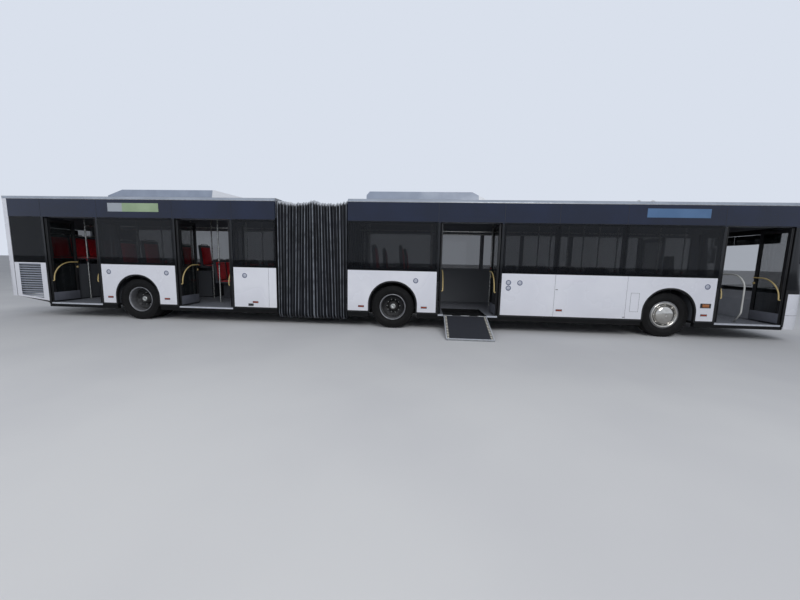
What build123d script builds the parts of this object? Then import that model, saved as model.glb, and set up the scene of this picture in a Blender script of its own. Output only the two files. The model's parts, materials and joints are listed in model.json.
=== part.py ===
from build123d import *
import os
from math import asin, atan2, cos, degrees, hypot, radians, sin

os.makedirs("parts", exist_ok=True)

# Articulated city bus, in millimetres.
# While it is modelled, X runs forward from the rear end, Y to the left and Z up from the ground.
# save() then moves every piece so that the origin is on the ground under the middle of its box.

# Body
bus_width = 2550.0
rear_overhang = 3400.0
rear_wheelbase = 5990.0
front_wheelbase = 5845.0
front_overhang = 2705.0
wall = 60.0
skin = 8.0
seam = 6.0
seat_gap = 0.3

# Heights above the ground
floor_top = 350.0
floor_thickness = 30.0
skirt_bottom = 388.0
belt = 1290.0
window_top = 2355.0
roof_seam = 2760.0
roof_edge_top = 2828.0
roof_crown = 2865.0
roof_shoulder = 68.0

# Places along the bus
rear_cap_depth = 330.0
front_cap_depth = 428.0
bellows_to_axle = 1010.0
bellows_length = 1630.0
hatch_length = 180.0
front_hatch_to_axle = 885.0
front_post_to_axle = 2365.0
display_post_to_axle = 1005.0

# Doors: each counted from the bus's front end or from the axle beside it
door_1_to_front = 1125.0
door_2_to_axle = 1658.0
door_3_to_axle = 1655.0
door_4_to_axle = 1550.0
door_width = 1300.0
door_header = 2350.0
door_surround = 45.0
header_depth = 190.0
header_height = 150.0
leaf_thickness = 40.0
leaf_clearance = 12.0
leaf_floor_gap = 24.0
leaf_border = 58.0
leaf_sill = 130.0
pane_thickness = 8.0
open_leaf_gap = 18.0
open_leaf_inset = 6.0
post_radius = 18.0
post_depth = 92.0
post_setback = 16.0
arm_width = 26.0
arm_thickness = 10.0
arm_rise = 8.0
pin_radius = 6.0
boss_radius = 11.0
grab_radius = 14.0
grab_offset = 44.0
grab_top = 1310.0
grab_bottom = 760.0
grab_bend = 450.0

# Ramp
ramp_width = 930.0
ramp_length = 960.0
ramp_thickness = 30.0
ramp_hinge_inset = 5.0
ramp_hinge_gap = 22.0
ramp_knuckle_radius = 11.0
ramp_recess_gap = 6.0
ramp_recess_depth = 12.0
ramp_offset = -53.0

# Wheels
tyre_radius = 479.0
tyre_width = 276.0
bead_radius = 286.0
rim_width = 196.0
rim_wall = 12.0
twin_spacing = 320.0
front_wheel_inset = 225.0
twin_wheel_inset = 177.0
kingpin_offset = 120.0
kingpin_radius = 30.0
eye_radius = 58.0
hub_block = 60.0
steer_limit = 42.0
steered_clearance = 61.0
spindle_radius = 45.0
hub_radius = 118.0
web_flat_radius = 178.0
web_edge = 78.0
front_web_face = 112.0
front_hub_reach = 58.0
twin_hub_reach = 132.0

# Wheel arches
arch_half = 515.0
arch_top = 1035.0
arch_radius = 495.0
arch_lip = 30.0
tub_past_arch = 25.0
tub_above_arch = 40.0
tub_wall = 20.0
twin_tub_clearance = 40.0

# Frame under the floor
sill_height = 70.0
beam_height = 90.0
beam_width = 80.0
beam_place = 430.0
axle_gap = 430.0
axle_height = 90.0
axle_clearance = 135.0
axle_width = 130.0
air_spring_radius = 85.0
spring_to_tub = 130.0
spring_reach = 330.0
portal_depth = 50.0
gangway_inset = 195.0
gangway_top = 2420.0

# Turntable
turntable_radius = 560.0
turntable_bore = 420.0
turntable_height = 47.0
turntable_bottom = 212.0
turntable_plate_radius = 790.0
tongue_half = 330.0
tongue_length = 400.0

# Bellows
pleat_count = 24
pleat_depth = 30.0
bellows_inset = 12.0
bellows_cloth = 18.0
bellows_bottom = 135.0
bellows_top = 2815.0
bellows_corner = 150.0
bellows_lap = 325.0

# Front and rear ends
front_bulge = 90.0
front_corner = 240.0
rear_bulge = 75.0
rear_corner = 255.0
bumper_bottom = 270.0
rear_bottom = 490.0
rear_tuck = 150.0
rear_tuck_top = 1200.0
rear_top_radius = 260.0
rear_room_bevel = 130.0
mask_top = 1000.0
windscreen_top = 2350.0
windscreen_inset = 155.0
windscreen_border = 60.0
windscreen_rake = 0.10
top_edge_radius = 150.0

# Things on the roof
roof_unit_inset = 375.0
roof_unit_top = 3065.0
roof_unit_lean = 60.0
roof_unit_sink = 20.0
# Places along each roof housing, counted from the axle under it
front_unit = {"base": (-670.0, 1985.0), "top": (-600.0, 1710.0), "rear_step": 172.0, "front_step": 112.0}
rear_unit = {"base": (-940.0, 2380.0), "top": (-600.0, 1710.0), "rear_step": 112.0, "front_step": 92.0}
mirror_reach = 190.0
mirror_out = 150.0
mirror_height = 1850.0

# Worked out from the sizes above
half = bus_width / 2
axle_rear = rear_overhang
axle_middle = axle_rear + rear_wheelbase
axle_front = axle_middle + front_wheelbase
bus_length = axle_front + front_overhang
front_cap_start = bus_length - front_cap_depth
bellows_front = axle_middle - bellows_to_axle
bellows_rear = bellows_front - bellows_length
pivot_x = (bellows_rear + bellows_front) / 2
hatch_seam = bellows_rear - hatch_length
front_hatch_seam = axle_front - front_hatch_to_axle
front_post_seam = axle_front - front_post_to_axle
display_post_seam = axle_front - display_post_to_axle
door_centres = {
    1: bus_length - door_1_to_front,
    2: axle_middle + door_2_to_axle,
    3: axle_rear + door_3_to_axle,
    4: axle_rear - door_4_to_axle,
}
gangway_half = half - gangway_inset
bellows_slot = half - bellows_lap
windscreen_half = half - windscreen_inset
roof_unit_half = half - roof_unit_inset
front_wheel_centre = half - front_wheel_inset
twin_outer_centre = half - twin_wheel_inset
kingpin_place = front_wheel_centre - kingpin_offset
floor_bottom = floor_top - floor_thickness
tub_half = arch_half + tub_past_arch
tub_top = arch_top + tub_above_arch
leaf_length = door_width / 2 - 1.5 * leaf_clearance
leaf_bottom = floor_top + leaf_floor_gap
leaf_top = door_header - leaf_floor_gap
ramp_hinge_y = -(half - ramp_hinge_inset)
ramp_hinge_z = floor_top - ramp_thickness / 2
ramp_end = ramp_hinge_gap + ramp_length
ramp_slope = asin(ramp_hinge_z / hypot(ramp_end, ramp_thickness / 2)) - atan2(ramp_thickness / 2, ramp_end)
ramp_reach = ramp_end * cos(ramp_slope) + ramp_thickness / 2 * sin(ramp_slope) - ramp_hinge_inset
ramp_centre = door_centres[2] + ramp_offset
origin_x = (bus_length + mirror_reach) / 2
origin_y = (mirror_out - ramp_reach) / 2
twin_inner_centre = twin_outer_centre - twin_spacing
twin_tub_inner = twin_inner_centre - tyre_width / 2 - twin_tub_clearance
spring_place = twin_tub_inner - spring_to_tub
steer_angle = radians(steer_limit)
tyre_behind_pin = kingpin_place - front_wheel_centre + tyre_width / 2
steered_reach = tyre_radius * sin(steer_angle) + tyre_behind_pin * cos(steer_angle)
steered_tub_inner = kingpin_place - steered_reach - steered_clearance

# Leaf geometry at one jamb: u runs along the wall from the jamb, v inwards from the outer face
leaf_open_u = open_leaf_gap + leaf_thickness / 2
leaf_open_v = open_leaf_inset + leaf_length / 2
pivot_across = (post_depth - leaf_thickness / 2 - post_setback - leaf_open_u) / 2
pivot_along = (leaf_open_v - post_depth - leaf_clearance - leaf_length / 2 - post_setback) / 2
leaf_pivot_u = leaf_open_u + pivot_across
leaf_pivot_v = leaf_open_v - pivot_along
# End of sizes


def block(x0, x1, y0, y1, z0, z1):
    """Box from its low corner to its high corner."""
    return Pos((x0 + x1) / 2, (y0 + y1) / 2, (z0 + z1) / 2) * Box(x1 - x0, y1 - y0, z1 - z0)


def rect(u0, u1, v0, v1):
    """Flat rectangle from its low corner to its high corner."""
    return Pos((u0 + u1) / 2, (v0 + v1) / 2) * Rectangle(u1 - u0, v1 - v0)


def outline(*points):
    """Filled outline through its corners, wound one way whatever their order."""
    turn = sum(a[0] * b[1] - b[0] * a[1] for a, b in zip(points, points[1:] + points[:1]))
    return Polygon(*(points if turn > 0 else points[::-1]), align=None)


def along_x(sketch, x0, x1):
    """Extrude a sketch drawn in Y and Z."""
    return extrude(Plane.YZ.offset(x0) * sketch, amount=x1 - x0)


def along_y(sketch, y0, y1):
    """Extrude a sketch drawn in X and Z."""
    return extrude(Plane.XZ.offset(-y0) * sketch, amount=-(y1 - y0))


def along_z(sketch, z0, z1):
    """Extrude a sketch drawn in X and Y."""
    return extrude(Plane.XY.offset(z0) * sketch, amount=z1 - z0)


def rod(start, end, radius):
    """Round bar between two points."""
    line = Line(start, end)
    return sweep(Plane(origin=start, z_dir=line % 0) * Circle(radius), path=line)


def bent_tube(points, radii, radius):
    """Round tube along straight runs joined by arcs."""
    path = FilletPolyline(*points, radius=radii)
    return sweep(Plane(origin=points[0], z_dir=path % 0) * Circle(radius), path=path)


def side_range(side, depth0, depth1):
    """Y range of a layer counted inwards from the outer face of one side."""
    a = side * (half - depth0)
    b = side * (half - depth1)
    return min(a, b), max(a, b)


def on_side(sketch, side, depth0, depth1):
    return along_y(sketch, *side_range(side, depth0, depth1))


def save(name, *pieces):
    """Write the pieces of one node, moved to the library origin."""
    solids = []
    for piece in pieces:
        moved = Pos(-origin_x, -origin_y, 0) * piece
        solids.extend(moved.solids())
    shape = solids[0] if len(solids) == 1 else Compound(children=solids)
    export_step(shape, f"parts/{name}.step")


def door_span(number):
    centre = door_centres[number]
    return centre - door_width / 2, centre + door_width / 2


def framed_span(number):
    low, high = door_span(number)
    return low - door_surround, high + door_surround


# Sections of the body: side wall ends, axle, doors, seams of the panels and window bays
door_1, door_2, door_3, door_4 = [framed_span(number) for number in (1, 2, 3, 4)]
sections = {
    "rear": {
        "ends": (rear_cap_depth, bellows_rear),
        "axles": (axle_rear,),
        "doors": (3, 4),
        "panels": {
            -1: ((door_4[1], door_3[0]), (door_3[1], hatch_seam), (hatch_seam, bellows_rear)),
            1: (
                (door_4[0], door_4[1]),
                (door_4[1], door_3[0]),
                (door_3[0], door_3[1]),
                (door_3[1], hatch_seam),
                (hatch_seam, bellows_rear),
            ),
        },
        "windows": {
            -1: ((door_4[1], door_3[0]), (door_3[1], bellows_rear)),
            1: (
                (door_4[0], door_4[1]),
                (door_4[1], door_3[0]),
                (door_3[0], door_3[1]),
                (door_3[1], bellows_rear),
            ),
        },
    },
    "front": {
        "ends": (bellows_front, front_cap_start),
        "axles": (axle_middle, axle_front),
        "doors": (1, 2),
        "panels": {
            -1: (
                (bellows_front, door_2[0]),
                (door_2[1], front_post_seam),
                (front_post_seam, front_hatch_seam),
                (front_hatch_seam, door_1[0]),
            ),
            1: (
                (bellows_front, door_2[0]),
                (door_2[0], door_2[1]),
                (door_2[1], front_post_seam),
                (front_post_seam, front_hatch_seam),
                (front_hatch_seam, door_1[0]),
                (door_1[0], front_cap_start),
            ),
        },
        "windows": {
            -1: (
                (bellows_front, door_2[0]),
                (door_2[1], front_post_seam),
                (front_post_seam, display_post_seam),
                (display_post_seam, door_1[0]),
            ),
            1: (
                (bellows_front, door_2[0]),
                (door_2[0], door_2[1]),
                (door_2[1], front_post_seam),
                (front_post_seam, display_post_seam),
                (display_post_seam, door_1[0]),
                (door_1[0], front_cap_start),
            ),
        },
    },
}

# Louvre at each rear corner, over the engine bay
louvre_rear = 450.0
louvre_to_door = 125.0
louvre_top = 1278.0
louvre_rise = 32.0
louvre_margin = 10.0
slat_count = 15
slat_height = 44.0
slat_thickness = 3.0
slat_tilt = 35.0
rear_panel_gap = 15.0
rear_panel_start = rear_cap_depth + rear_panel_gap
rear_panel_bottom = 490.0
bay_wall_to_door = 20.0
podium_top = 1250.0
engine_rear = 440.0
engine_right = -420.0
engine_left = 480.0
engine_bottom = 300.0
engine_top = 1140.0
engine_room = 25.0
towing_x = 330.0
towing_bore = 21.0
towing_bar = 60.0
towing_shank = 160.0
front_towing_depth = 180.0
front_towing_x = bus_length - front_towing_depth
engine_bay_end = door_4[0]
bay_wall = engine_bay_end - bay_wall_to_door
louvre_front = engine_bay_end - louvre_to_door


def panel_bottom(x):
    """Height of the sloping lower edge of the rear corner panel."""
    share = (x - rear_panel_start) / (engine_bay_end - rear_panel_start)
    return rear_panel_bottom + (skirt_bottom - rear_panel_bottom) * share


def louvre_hole(grow=0.0):
    """Louvre opening: level top, lower edge along the panel's."""
    low = louvre_rise - grow
    return outline(
        (louvre_rear - grow, panel_bottom(louvre_rear) + low),
        (louvre_front + grow, panel_bottom(louvre_front) + low),
        (louvre_front + grow, louvre_top + grow),
        (louvre_rear - grow, louvre_top + grow),
    )


def arch(axle, grow=0.0):
    """Wheel arch opening with a flat top and large round corners."""
    shape = rect(axle - arch_half - grow, axle + arch_half + grow, bellows_bottom, arch_top + grow)
    return fillet(shape.vertices().group_by(Axis.Y)[-1], arch_radius + grow)


def window_hole(span):
    border = 50.0
    return rect(span[0] + border, span[1] - border, belt + border, window_top - border)


def side_wall(section, side):
    """Framed wall of one side with its windows, doorways and arches cut."""
    data = sections[section]
    x0, x1 = data["ends"]
    sheet = rect(x0, x1, floor_top, roof_seam)
    band = rect(x0, x1, window_top, roof_seam)
    for axle in data["axles"]:
        sheet -= arch(axle)
    for span in data["windows"][side]:
        sheet -= window_hole(span)
    if section == "rear":
        sheet -= louvre_hole(2)
        sheet -= outline((x0 - 1, floor_top - 1), (door_4[0] - 1, floor_top - 1), (x0 - 1, rear_panel_bottom))
    extras = [on_side(band, side, 0, skin)]
    for axle in data["axles"]:
        lip = arch(axle, arch_lip) - arch(axle) - rect(x0, x1, 0, skirt_bottom)
        extras.append(on_side(lip, side, 0, skin))
    if side < 0:
        for number in data["doors"]:
            low, high = door_span(number)
            sheet -= rect(low, high, floor_top - 1, door_header)
            outer = rect(low - door_surround, high + door_surround, floor_top, window_top)
            extras.append(on_side(outer - rect(low, high, floor_top, door_header), side, 0, skin))
            header = rect(low - door_surround, high + door_surround, door_header, door_header + header_height)
            extras.append(on_side(header, side, wall, header_depth))
    return on_side(sheet, side, skin, wall) + extras


def skirt(span, side, section, bottom_rear=skirt_bottom):
    """One lower outer panel, cut round the arches."""
    x0, x1 = span[0] + seam / 2, span[1] - seam / 2
    shape = outline((x0, bottom_rear), (x1, skirt_bottom), (x1, belt), (x0, belt))
    for axle in sections[section]["axles"]:
        if x0 < axle < x1:
            shape -= arch(axle, arch_lip + seam / 2)
    return on_side(shape, side, 0, skin)


def louvre_panel(side):
    """Rear corner panel with a louvre of sloping slats."""
    panel = skirt((rear_panel_start, engine_bay_end), side, "rear", rear_panel_bottom)
    hole = louvre_hole()
    panel -= on_side(hole, side, -1, skin + 1)
    lowest = panel_bottom(louvre_front) + louvre_rise
    pitch = (louvre_top - lowest) / slat_count
    middle_x = (louvre_rear + louvre_front) / 2
    slat = Box(louvre_front - louvre_rear, slat_thickness, slat_height)
    slats = []
    for index in range(slat_count):
        place = Pos(middle_x, side * (half - skin * 1.8), lowest + pitch * (index + 0.5))
        slats.append(place * Rot(-side * slat_tilt, 0, 0) * slat)
    frame_sheet = hole - louvre_hole(-louvre_margin)
    surround = on_side(frame_sheet, side, 0, skin)
    allowed = on_side(hole, side, 0, wall)
    rack = [piece & allowed for piece in slats]
    return panel + surround + rack


def glazing(section):
    panes = []
    for side in (-1, 1):
        for x0, x1 in sections[section]["windows"][side]:
            pane = rect(x0 + seam / 2, x1 - seam / 2, belt + seam, window_top - seam)
            panes.append(on_side(pane, side, 0, skin))
        if section == "rear":
            pane = rect(rear_panel_start, engine_bay_end - seam / 2, belt + seam, window_top - seam)
            panes.append(on_side(pane, side, 0, skin))
    return panes


def cross_section(inset=0.0):
    """Outline of the body across the bus, from well below the floor to the crowned roof."""
    y = half - inset
    top = roof_edge_top - inset
    shape = outline((-y, 0), (y, 0), (y, top), (0, roof_crown - inset), (-y, top))
    return fillet(shape.vertices().filter_by(lambda v: abs(v.Y - top) < 1), roof_shoulder - inset / 2)


def roof(section):
    x0, x1 = sections[section]["ends"]
    above = rect(-bus_width, bus_width, roof_seam, roof_crown + wall)
    return along_x((cross_section() - cross_section(wall)) & above, x0, x1)


def portal(x0, x1):
    """Frame round the gangway at the end of a section."""
    inner = rect(-(half - wall), half - wall, floor_top, roof_seam)
    ring = inner - rect(-gangway_half, gangway_half, floor_top - 1, gangway_top)
    return along_x(ring, x0, x1)


# Ends of the bus
def end_plan(tip, bulge, corner, start, inset=0.0):
    """Plan of an end: straight sides, round corners and a slightly bowed face."""
    y = half - inset
    way = 1 if tip > start else -1
    face_x = tip - way * inset
    side_x = face_x - way * bulge
    back = Line((start, y), (start, -y))
    right = Line((start, -y), (side_x, -y))
    bow = ThreePointArc((side_x, -y), (face_x, 0), (side_x, y))
    left = Line((side_x, y), (start, y))
    shape = make_face([back, right, bow, left])
    corners = shape.vertices().filter_by(lambda v: abs(v.X - side_x) < 1)
    return fillet(corners, corner - inset)


def front_end(inset=0.0):
    """Solid of the front end, upright below and raked above the mask."""
    start = front_cap_start - 500
    plan = end_plan(bus_length, front_bulge, front_corner, start, inset)
    top = roof_crown + wall
    lower = along_z(plan, bumper_bottom, mask_top)
    lean = Vector(-windscreen_rake, 0, 1).normalized()
    length = (top - mask_top) / lean.Z
    upper = extrude(Plane.XY.offset(mask_top) * plan, amount=length, dir=lean)
    body = (lower + upper) & along_x(cross_section(inset), front_cap_start, bus_length + wall)
    face_top = bus_length - inset - windscreen_rake * (roof_crown - mask_top)
    crown = outline(
        (front_cap_start - wall, 0),
        (bus_length + wall, 0),
        (bus_length + wall, mask_top),
        (face_top, roof_crown - inset),
        (front_cap_start - wall, roof_crown - inset),
    )
    crown = fillet(crown.vertices().filter_by(lambda v: abs(v.X - face_top) < 1), top_edge_radius)
    return body & along_y(crown, -bus_width, bus_width)


def rear_profile(inset, top, bevel=0.0):
    """Side view of the rear end: upright, tucked in below, its top corner square or bevelled."""
    return outline(
        (inset + rear_tuck, 0),
        (rear_cap_depth + wall, 0),
        (rear_cap_depth + wall, top),
        (inset + bevel, top),
        *(((inset, top - bevel),) if bevel else ()),
        (inset, rear_tuck_top),
        (inset + rear_tuck, rear_bottom),
    )


def rear_end(inset=0.0):
    """Solid of the rear end, with a rounded top edge."""
    plan = end_plan(0.0, rear_bulge, rear_corner, rear_cap_depth, inset)
    body = along_z(plan, rear_bottom, roof_crown + wall) & along_x(cross_section(inset), 0, rear_cap_depth)
    crown = rear_profile(inset, roof_crown - inset)
    corner = crown.vertices().filter_by(lambda v: v.X < inset + 1 and v.Y > rear_tuck_top + 1)
    crown = fillet(corner, rear_top_radius)
    return body & along_y(crown, -bus_width, bus_width)


def level(z0, z1, reach=bus_width):
    """Slab used to pick out a height range, and a width, of an end."""
    return block(-wall, bus_length + wall, -reach, reach, z0, z1)


front_outer = front_end()
front_shell = front_outer - front_end(wall)
front_skin = front_outer - front_end(skin)
rear_outer = rear_end()
rear_room_plan = end_plan(0.0, rear_bulge, rear_corner, rear_cap_depth, wall)
rear_room_top = roof_edge_top - wall
rear_room = along_z(rear_room_plan, rear_bottom, rear_room_top)
rear_room &= along_y(rear_profile(wall, rear_room_top, rear_room_bevel), -half, half)
rear_skin = rear_outer - rear_end(skin)

# Lamps: height range and distance range from the middle, at each end
headlamp = {"z": (600.0, 760.0), "y": (half - 535.0, half - 145.0)}
tail_lamp = {"z": (980.0, 1320.0), "y": (half - 235.0, half - 35.0)}
rear_window = {"z": (1480.0, 2250.0), "y": half - 375.0}
glass_border = 50.0


def lamp_zone(lamp, x0, x1, grow=0.0):
    z0, z1 = lamp["z"]
    y0, y1 = lamp["y"]
    zones = []
    for side in (-1, 1):
        ends = sorted((side * (y0 - grow), side * (y1 + grow)))
        zones.append(block(x0, x1, ends[0], ends[1], z0 - grow, z1 + grow))
    return zones


def front_mask():
    mask = front_shell & level(bumper_bottom, mask_top)
    for zone in lamp_zone(headlamp, front_cap_start, bus_length + wall, 1.0):
        mask -= front_skin & zone
    return mask


def headlamps():
    zones = lamp_zone(headlamp, front_cap_start, bus_length + wall)
    return [front_skin & zone for zone in zones]


def front_frame():
    """Pillars and top band of the front, with a rebate for the windscreen."""
    frame = front_shell & level(mask_top, roof_seam)
    frame -= front_skin & level(mask_top + seam, windscreen_top, windscreen_half)
    border = windscreen_border
    return frame - level(mask_top + border, windscreen_top - border, windscreen_half - border)


def windscreen():
    return front_skin & level(mask_top + seam + 1, windscreen_top - 1, windscreen_half - 1)


def rear_mask():
    mask = (rear_outer & level(rear_bottom, roof_seam)) - rear_room
    z0, z1 = rear_window["z"]
    y = rear_window["y"]
    mask -= rear_skin & block(-wall, rear_cap_depth, -y, y, z0, z1)
    border = glass_border
    mask -= block(-wall, rear_corner, border - y, y - border, z0 + border, z1 - border)
    for zone in lamp_zone(tail_lamp, -wall, rear_cap_depth, 1.0):
        mask -= rear_skin & zone
    return mask


def rear_pane():
    z0, z1 = rear_window["z"]
    y = rear_window["y"]
    return rear_skin & block(-wall, rear_cap_depth, 1 - y, y - 1, z0 + 1, z1 - 1)


def tail_lamps():
    zones = lamp_zone(tail_lamp, -wall, rear_cap_depth)
    return [rear_skin & zone for zone in zones]


# Floor and frame
def tub(axle, inner):
    """Wheel housings of one axle, open below and at the side."""
    shells = []
    reach = tub_half + tub_wall
    for side in (-1, 1):
        y0, y1 = sorted((side * (inner - tub_wall), side * (half - wall)))
        shells.append(block(axle - reach, axle + reach, y0, y1, floor_bottom, tub_top + tub_wall))
    return shells


def tub_space(axle, inner):
    spaces = []
    for side in (-1, 1):
        y0, y1 = sorted((side * inner, side * bus_width))
        spaces.append(block(axle - tub_half, axle + tub_half, y0, y1, 0, tub_top))
    return spaces


def floor_frame(x0, x1, tubs):
    """Floor plate, sills, beams and cross members with the wheel housings let in."""
    plate = block(x0, x1, -(half - skin), half - skin, floor_bottom, floor_top)
    frame = [plate]
    for side in (-1, 1):
        y0, y1 = side_range(side, 20, 95)
        frame.append(block(x0, x1, y0, y1, floor_bottom - sill_height, floor_bottom))
    stops = [x0]
    for axle, _ in sorted(tubs):
        stops += [axle - axle_gap, axle + axle_gap]
    stops.append(x1)
    for start, end in zip(stops[0::2], stops[1::2]):
        for side in (-1, 1):
            y0 = side * beam_place - beam_width / 2
            frame.append(block(start, end, y0, y0 + beam_width, floor_bottom - beam_height, floor_bottom))
        count = max(1, round((end - start) / 1400))
        for index in range(count + 1):
            x = start + 40 + (end - start - 80) * index / count
            frame.append(block(x - 30, x + 30, -(half - 60), half - 60, floor_bottom - 60, floor_bottom))
    body = frame[0] + frame[1:]
    for axle, inner in tubs:
        body += tub(axle, inner)
        body -= tub_space(axle, inner)
    return body


def turntable_ring(bottom):
    ring = Circle(turntable_radius) - Circle(turntable_bore)
    return along_z(Pos(pivot_x, 0) * ring, bottom, bottom + turntable_height)


def tongue(x0, x1, bottom):
    arm = block(x0, x1, -tongue_half, tongue_half, bottom, bottom + turntable_height)
    return arm - along_z(Pos(pivot_x, 0) * Circle(turntable_bore), bottom - 1, bottom + turntable_height + 1)


def front_underframe():
    tubs = ((axle_middle, twin_tub_inner), (axle_front, steered_tub_inner))
    body = floor_frame(bellows_front, front_cap_start, tubs)
    nose_plan = end_plan(bus_length, front_bulge, front_corner, front_cap_start, wall)
    nose = along_z(nose_plan, floor_bottom, floor_top)
    body += nose
    body += turntable_ring(turntable_bottom)
    body += tongue(pivot_x, bellows_front + tongue_length, turntable_bottom)
    carrier_end = bellows_front + tongue_length
    body += block(bellows_front, carrier_end, -beam_place, beam_place, turntable_bottom, floor_bottom)
    bar = towing_bar
    x0, x1 = front_towing_x - towing_shank, front_towing_x + bar
    body += block(x0, x1, -bar, bar, floor_bottom - bar, floor_bottom)
    body -= along_z(Pos(front_towing_x, 0) * Circle(towing_bore), floor_bottom - bar - 1, floor_top + 1)
    gap = ramp_recess_gap
    y0 = -half - 1
    y1 = ramp_hinge_y + ramp_end + gap
    x0 = ramp_centre - ramp_width / 2 - gap
    x1 = ramp_centre + ramp_width / 2 + gap
    recess_bottom = floor_top - ramp_thickness - ramp_recess_depth
    body += block(x0 - 20, x1 + 20, -(half - skin), y1 + 20, recess_bottom - 10, floor_bottom)
    body -= block(x0, x1, y0, y1, recess_bottom, floor_top + 1)
    return body + ramp_hinge_ears()


def hinge_knuckles(first, step):
    """Every other barrel of the ramp hinge: width shared by five barrels."""
    pitch = ramp_width / 5
    barrels = []
    for index in range(first, 5, step):
        x = ramp_centre - ramp_width / 2 + pitch * index
        start = x + (seat_gap / 2 if index else 0)
        end = x + pitch - (seat_gap / 2 if index < 4 else 0)
        barrels.append((start, end))
    return barrels


def barrel(start, end):
    return rod((start, ramp_hinge_y, ramp_hinge_z), (end, ramp_hinge_y, ramp_hinge_z), ramp_knuckle_radius)


def ramp_hinge_ears():
    """Barrels on the sill, each on a web from the recess."""
    pieces = []
    recess_bottom = floor_top - ramp_thickness - ramp_recess_depth
    for start, end in hinge_knuckles(1, 2):
        pieces.append(barrel(start, end))
        web_y = ramp_hinge_y
        pieces.append(block(start, end, web_y - 4, web_y + 4, recess_bottom, ramp_hinge_z))
    return pieces


def ramp():
    """Ramp plate with its barrels, folded out so that its end lies on the ground."""
    flat = block(
        ramp_centre - ramp_width / 2,
        ramp_centre + ramp_width / 2,
        -ramp_end,
        -ramp_hinge_gap,
        -ramp_thickness / 2,
        ramp_thickness / 2,
    )
    body = Pos(0, ramp_hinge_y, ramp_hinge_z) * Rot(degrees(ramp_slope), 0, 0) * flat
    for start, end in hinge_knuckles(0, 2):
        web = block(start, end, -ramp_hinge_gap - 5, 0, -6, 6)
        body += Pos(0, ramp_hinge_y, ramp_hinge_z) * Rot(degrees(ramp_slope), 0, 0) * web
        body += barrel(start, end)
    return body


def engine_housing():
    """Raised base over the engine, open below and behind the louvres."""
    box = block(rear_cap_depth, bay_wall, -(half - wall), half - wall, rear_bottom, podium_top)
    inner = half - wall - tub_wall
    box -= block(0, bay_wall - tub_wall, -inner, inner, 0, podium_top - tub_wall)
    for side in (-1, 1):
        y0, y1 = sorted((side * (inner - wall), side * bus_width))
        low = panel_bottom(louvre_front) + louvre_rise
        box -= block(louvre_rear, louvre_front, y0, y1, low, podium_top - tub_wall)
    box += block(bay_wall - tub_wall, bay_wall, -(half - wall), half - wall, floor_bottom, podium_top)
    box += rear_end(wall) & level(podium_top - tub_wall, podium_top)
    return box


def engine_rails():
    """Two rails that carry the engine between them, tied at the rear by a towing member."""
    z0, z1 = floor_top, floor_top + beam_height
    rails = block(towing_x - 50, bay_wall, engine_right - beam_width, engine_right, z0, z1)
    rails += block(towing_x - 50, bay_wall, engine_left, engine_left + beam_width, z0, z1)
    rails += block(towing_x - 50, towing_x + 50, engine_right, engine_left, z0, z1)
    middle = (engine_right + engine_left) / 2
    rails -= along_z(Pos(towing_x, middle) * Circle(towing_bore), z0 - 1, z1 + 1)
    return rails


def rear_underframe():
    body = floor_frame(bay_wall, bellows_rear, ((axle_rear, twin_tub_inner),))
    body += engine_housing()
    body += engine_rails()
    top_ring = turntable_bottom + turntable_height + seat_gap
    body += turntable_ring(top_ring)
    body += tongue(bellows_rear - tongue_length, pivot_x, top_ring)
    body += block(bellows_rear - tongue_length, bellows_rear, -beam_place, beam_place, top_ring, floor_bottom)
    plate = Pos(pivot_x, 0) * Circle(turntable_plate_radius)
    body += along_z(plate, top_ring + turntable_height, floor_top)
    body += along_z(rect(bellows_rear, pivot_x, -turntable_radius, turntable_radius), floor_bottom, floor_top)
    return body


def engine():
    """The engine as one plain block, held between two rails."""
    engine_front = bay_wall - tub_wall - engine_room
    return block(engine_rear, engine_front, engine_right, engine_left, engine_bottom, engine_top)


# Axles
def axle_beam(x, end, top_foot, top_head, low_foot, low_head):
    """Dropped beam: low under the floor, stepped up to the hubs inside the housings."""
    z0 = axle_clearance
    z1 = z0 + axle_height
    hub0 = tyre_radius - hub_block
    hub1 = tyre_radius + hub_block
    right = ((top_foot, z1), (top_head, hub1), (end, hub1), (end, hub0), (low_head, hub0), (low_foot, z0))
    left = tuple((-y, z) for y, z in reversed(right))
    return along_x(outline(*(right + left)), x - axle_width / 2, x + axle_width / 2)


def air_springs(x, y, bottom, top):
    return [along_z(Pos(x, side * y) * Circle(air_spring_radius), bottom, top) for side in (-1, 1)]


def front_axle():
    foot = steered_tub_inner + 10
    beam = axle_beam(axle_front, kingpin_place, foot, foot + 60, foot + 60, foot + 120)
    hub0 = tyre_radius - hub_block
    hub1 = tyre_radius + hub_block
    for side in (-1, 1):
        place = Pos(axle_front, side * kingpin_place)
        beam += along_z(place * Circle(eye_radius), hub0, hub1)
        beam -= along_z(place * Circle(kingpin_radius + seat_gap), hub0 - 1, hub1 + 1)
    return beam + air_springs(axle_front, steered_tub_inner + 110, hub1, tub_top)


def twin_axle(x):
    """Driven or trailing axle for twin wheels, with springs on trailing arms."""
    riser = twin_tub_inner + 2
    inner_face = twin_inner_centre - tyre_width / 2
    riser_out = inner_face - 6
    body = axle_beam(x, inner_face + 30, riser, riser, riser_out, riser_out)
    arm_low = axle_clearance + 5
    arm_high = arm_low + 20
    for side in (-1, 1):
        y0, y1 = sorted((side * (riser - 2), side * (twin_outer_centre - twin_spacing / 2 - 40)))
        body += rod((x, y0, tyre_radius), (x, y1, tyre_radius), spindle_radius)
        y = side * spring_place
        body += block(x - spring_reach - 50, x + spring_reach + 50, y - 40, y + 40, arm_low, arm_high)
    for way in (-1, 1):
        body += air_springs(x + way * spring_reach, spring_place, arm_high, floor_bottom)
    return body


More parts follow.
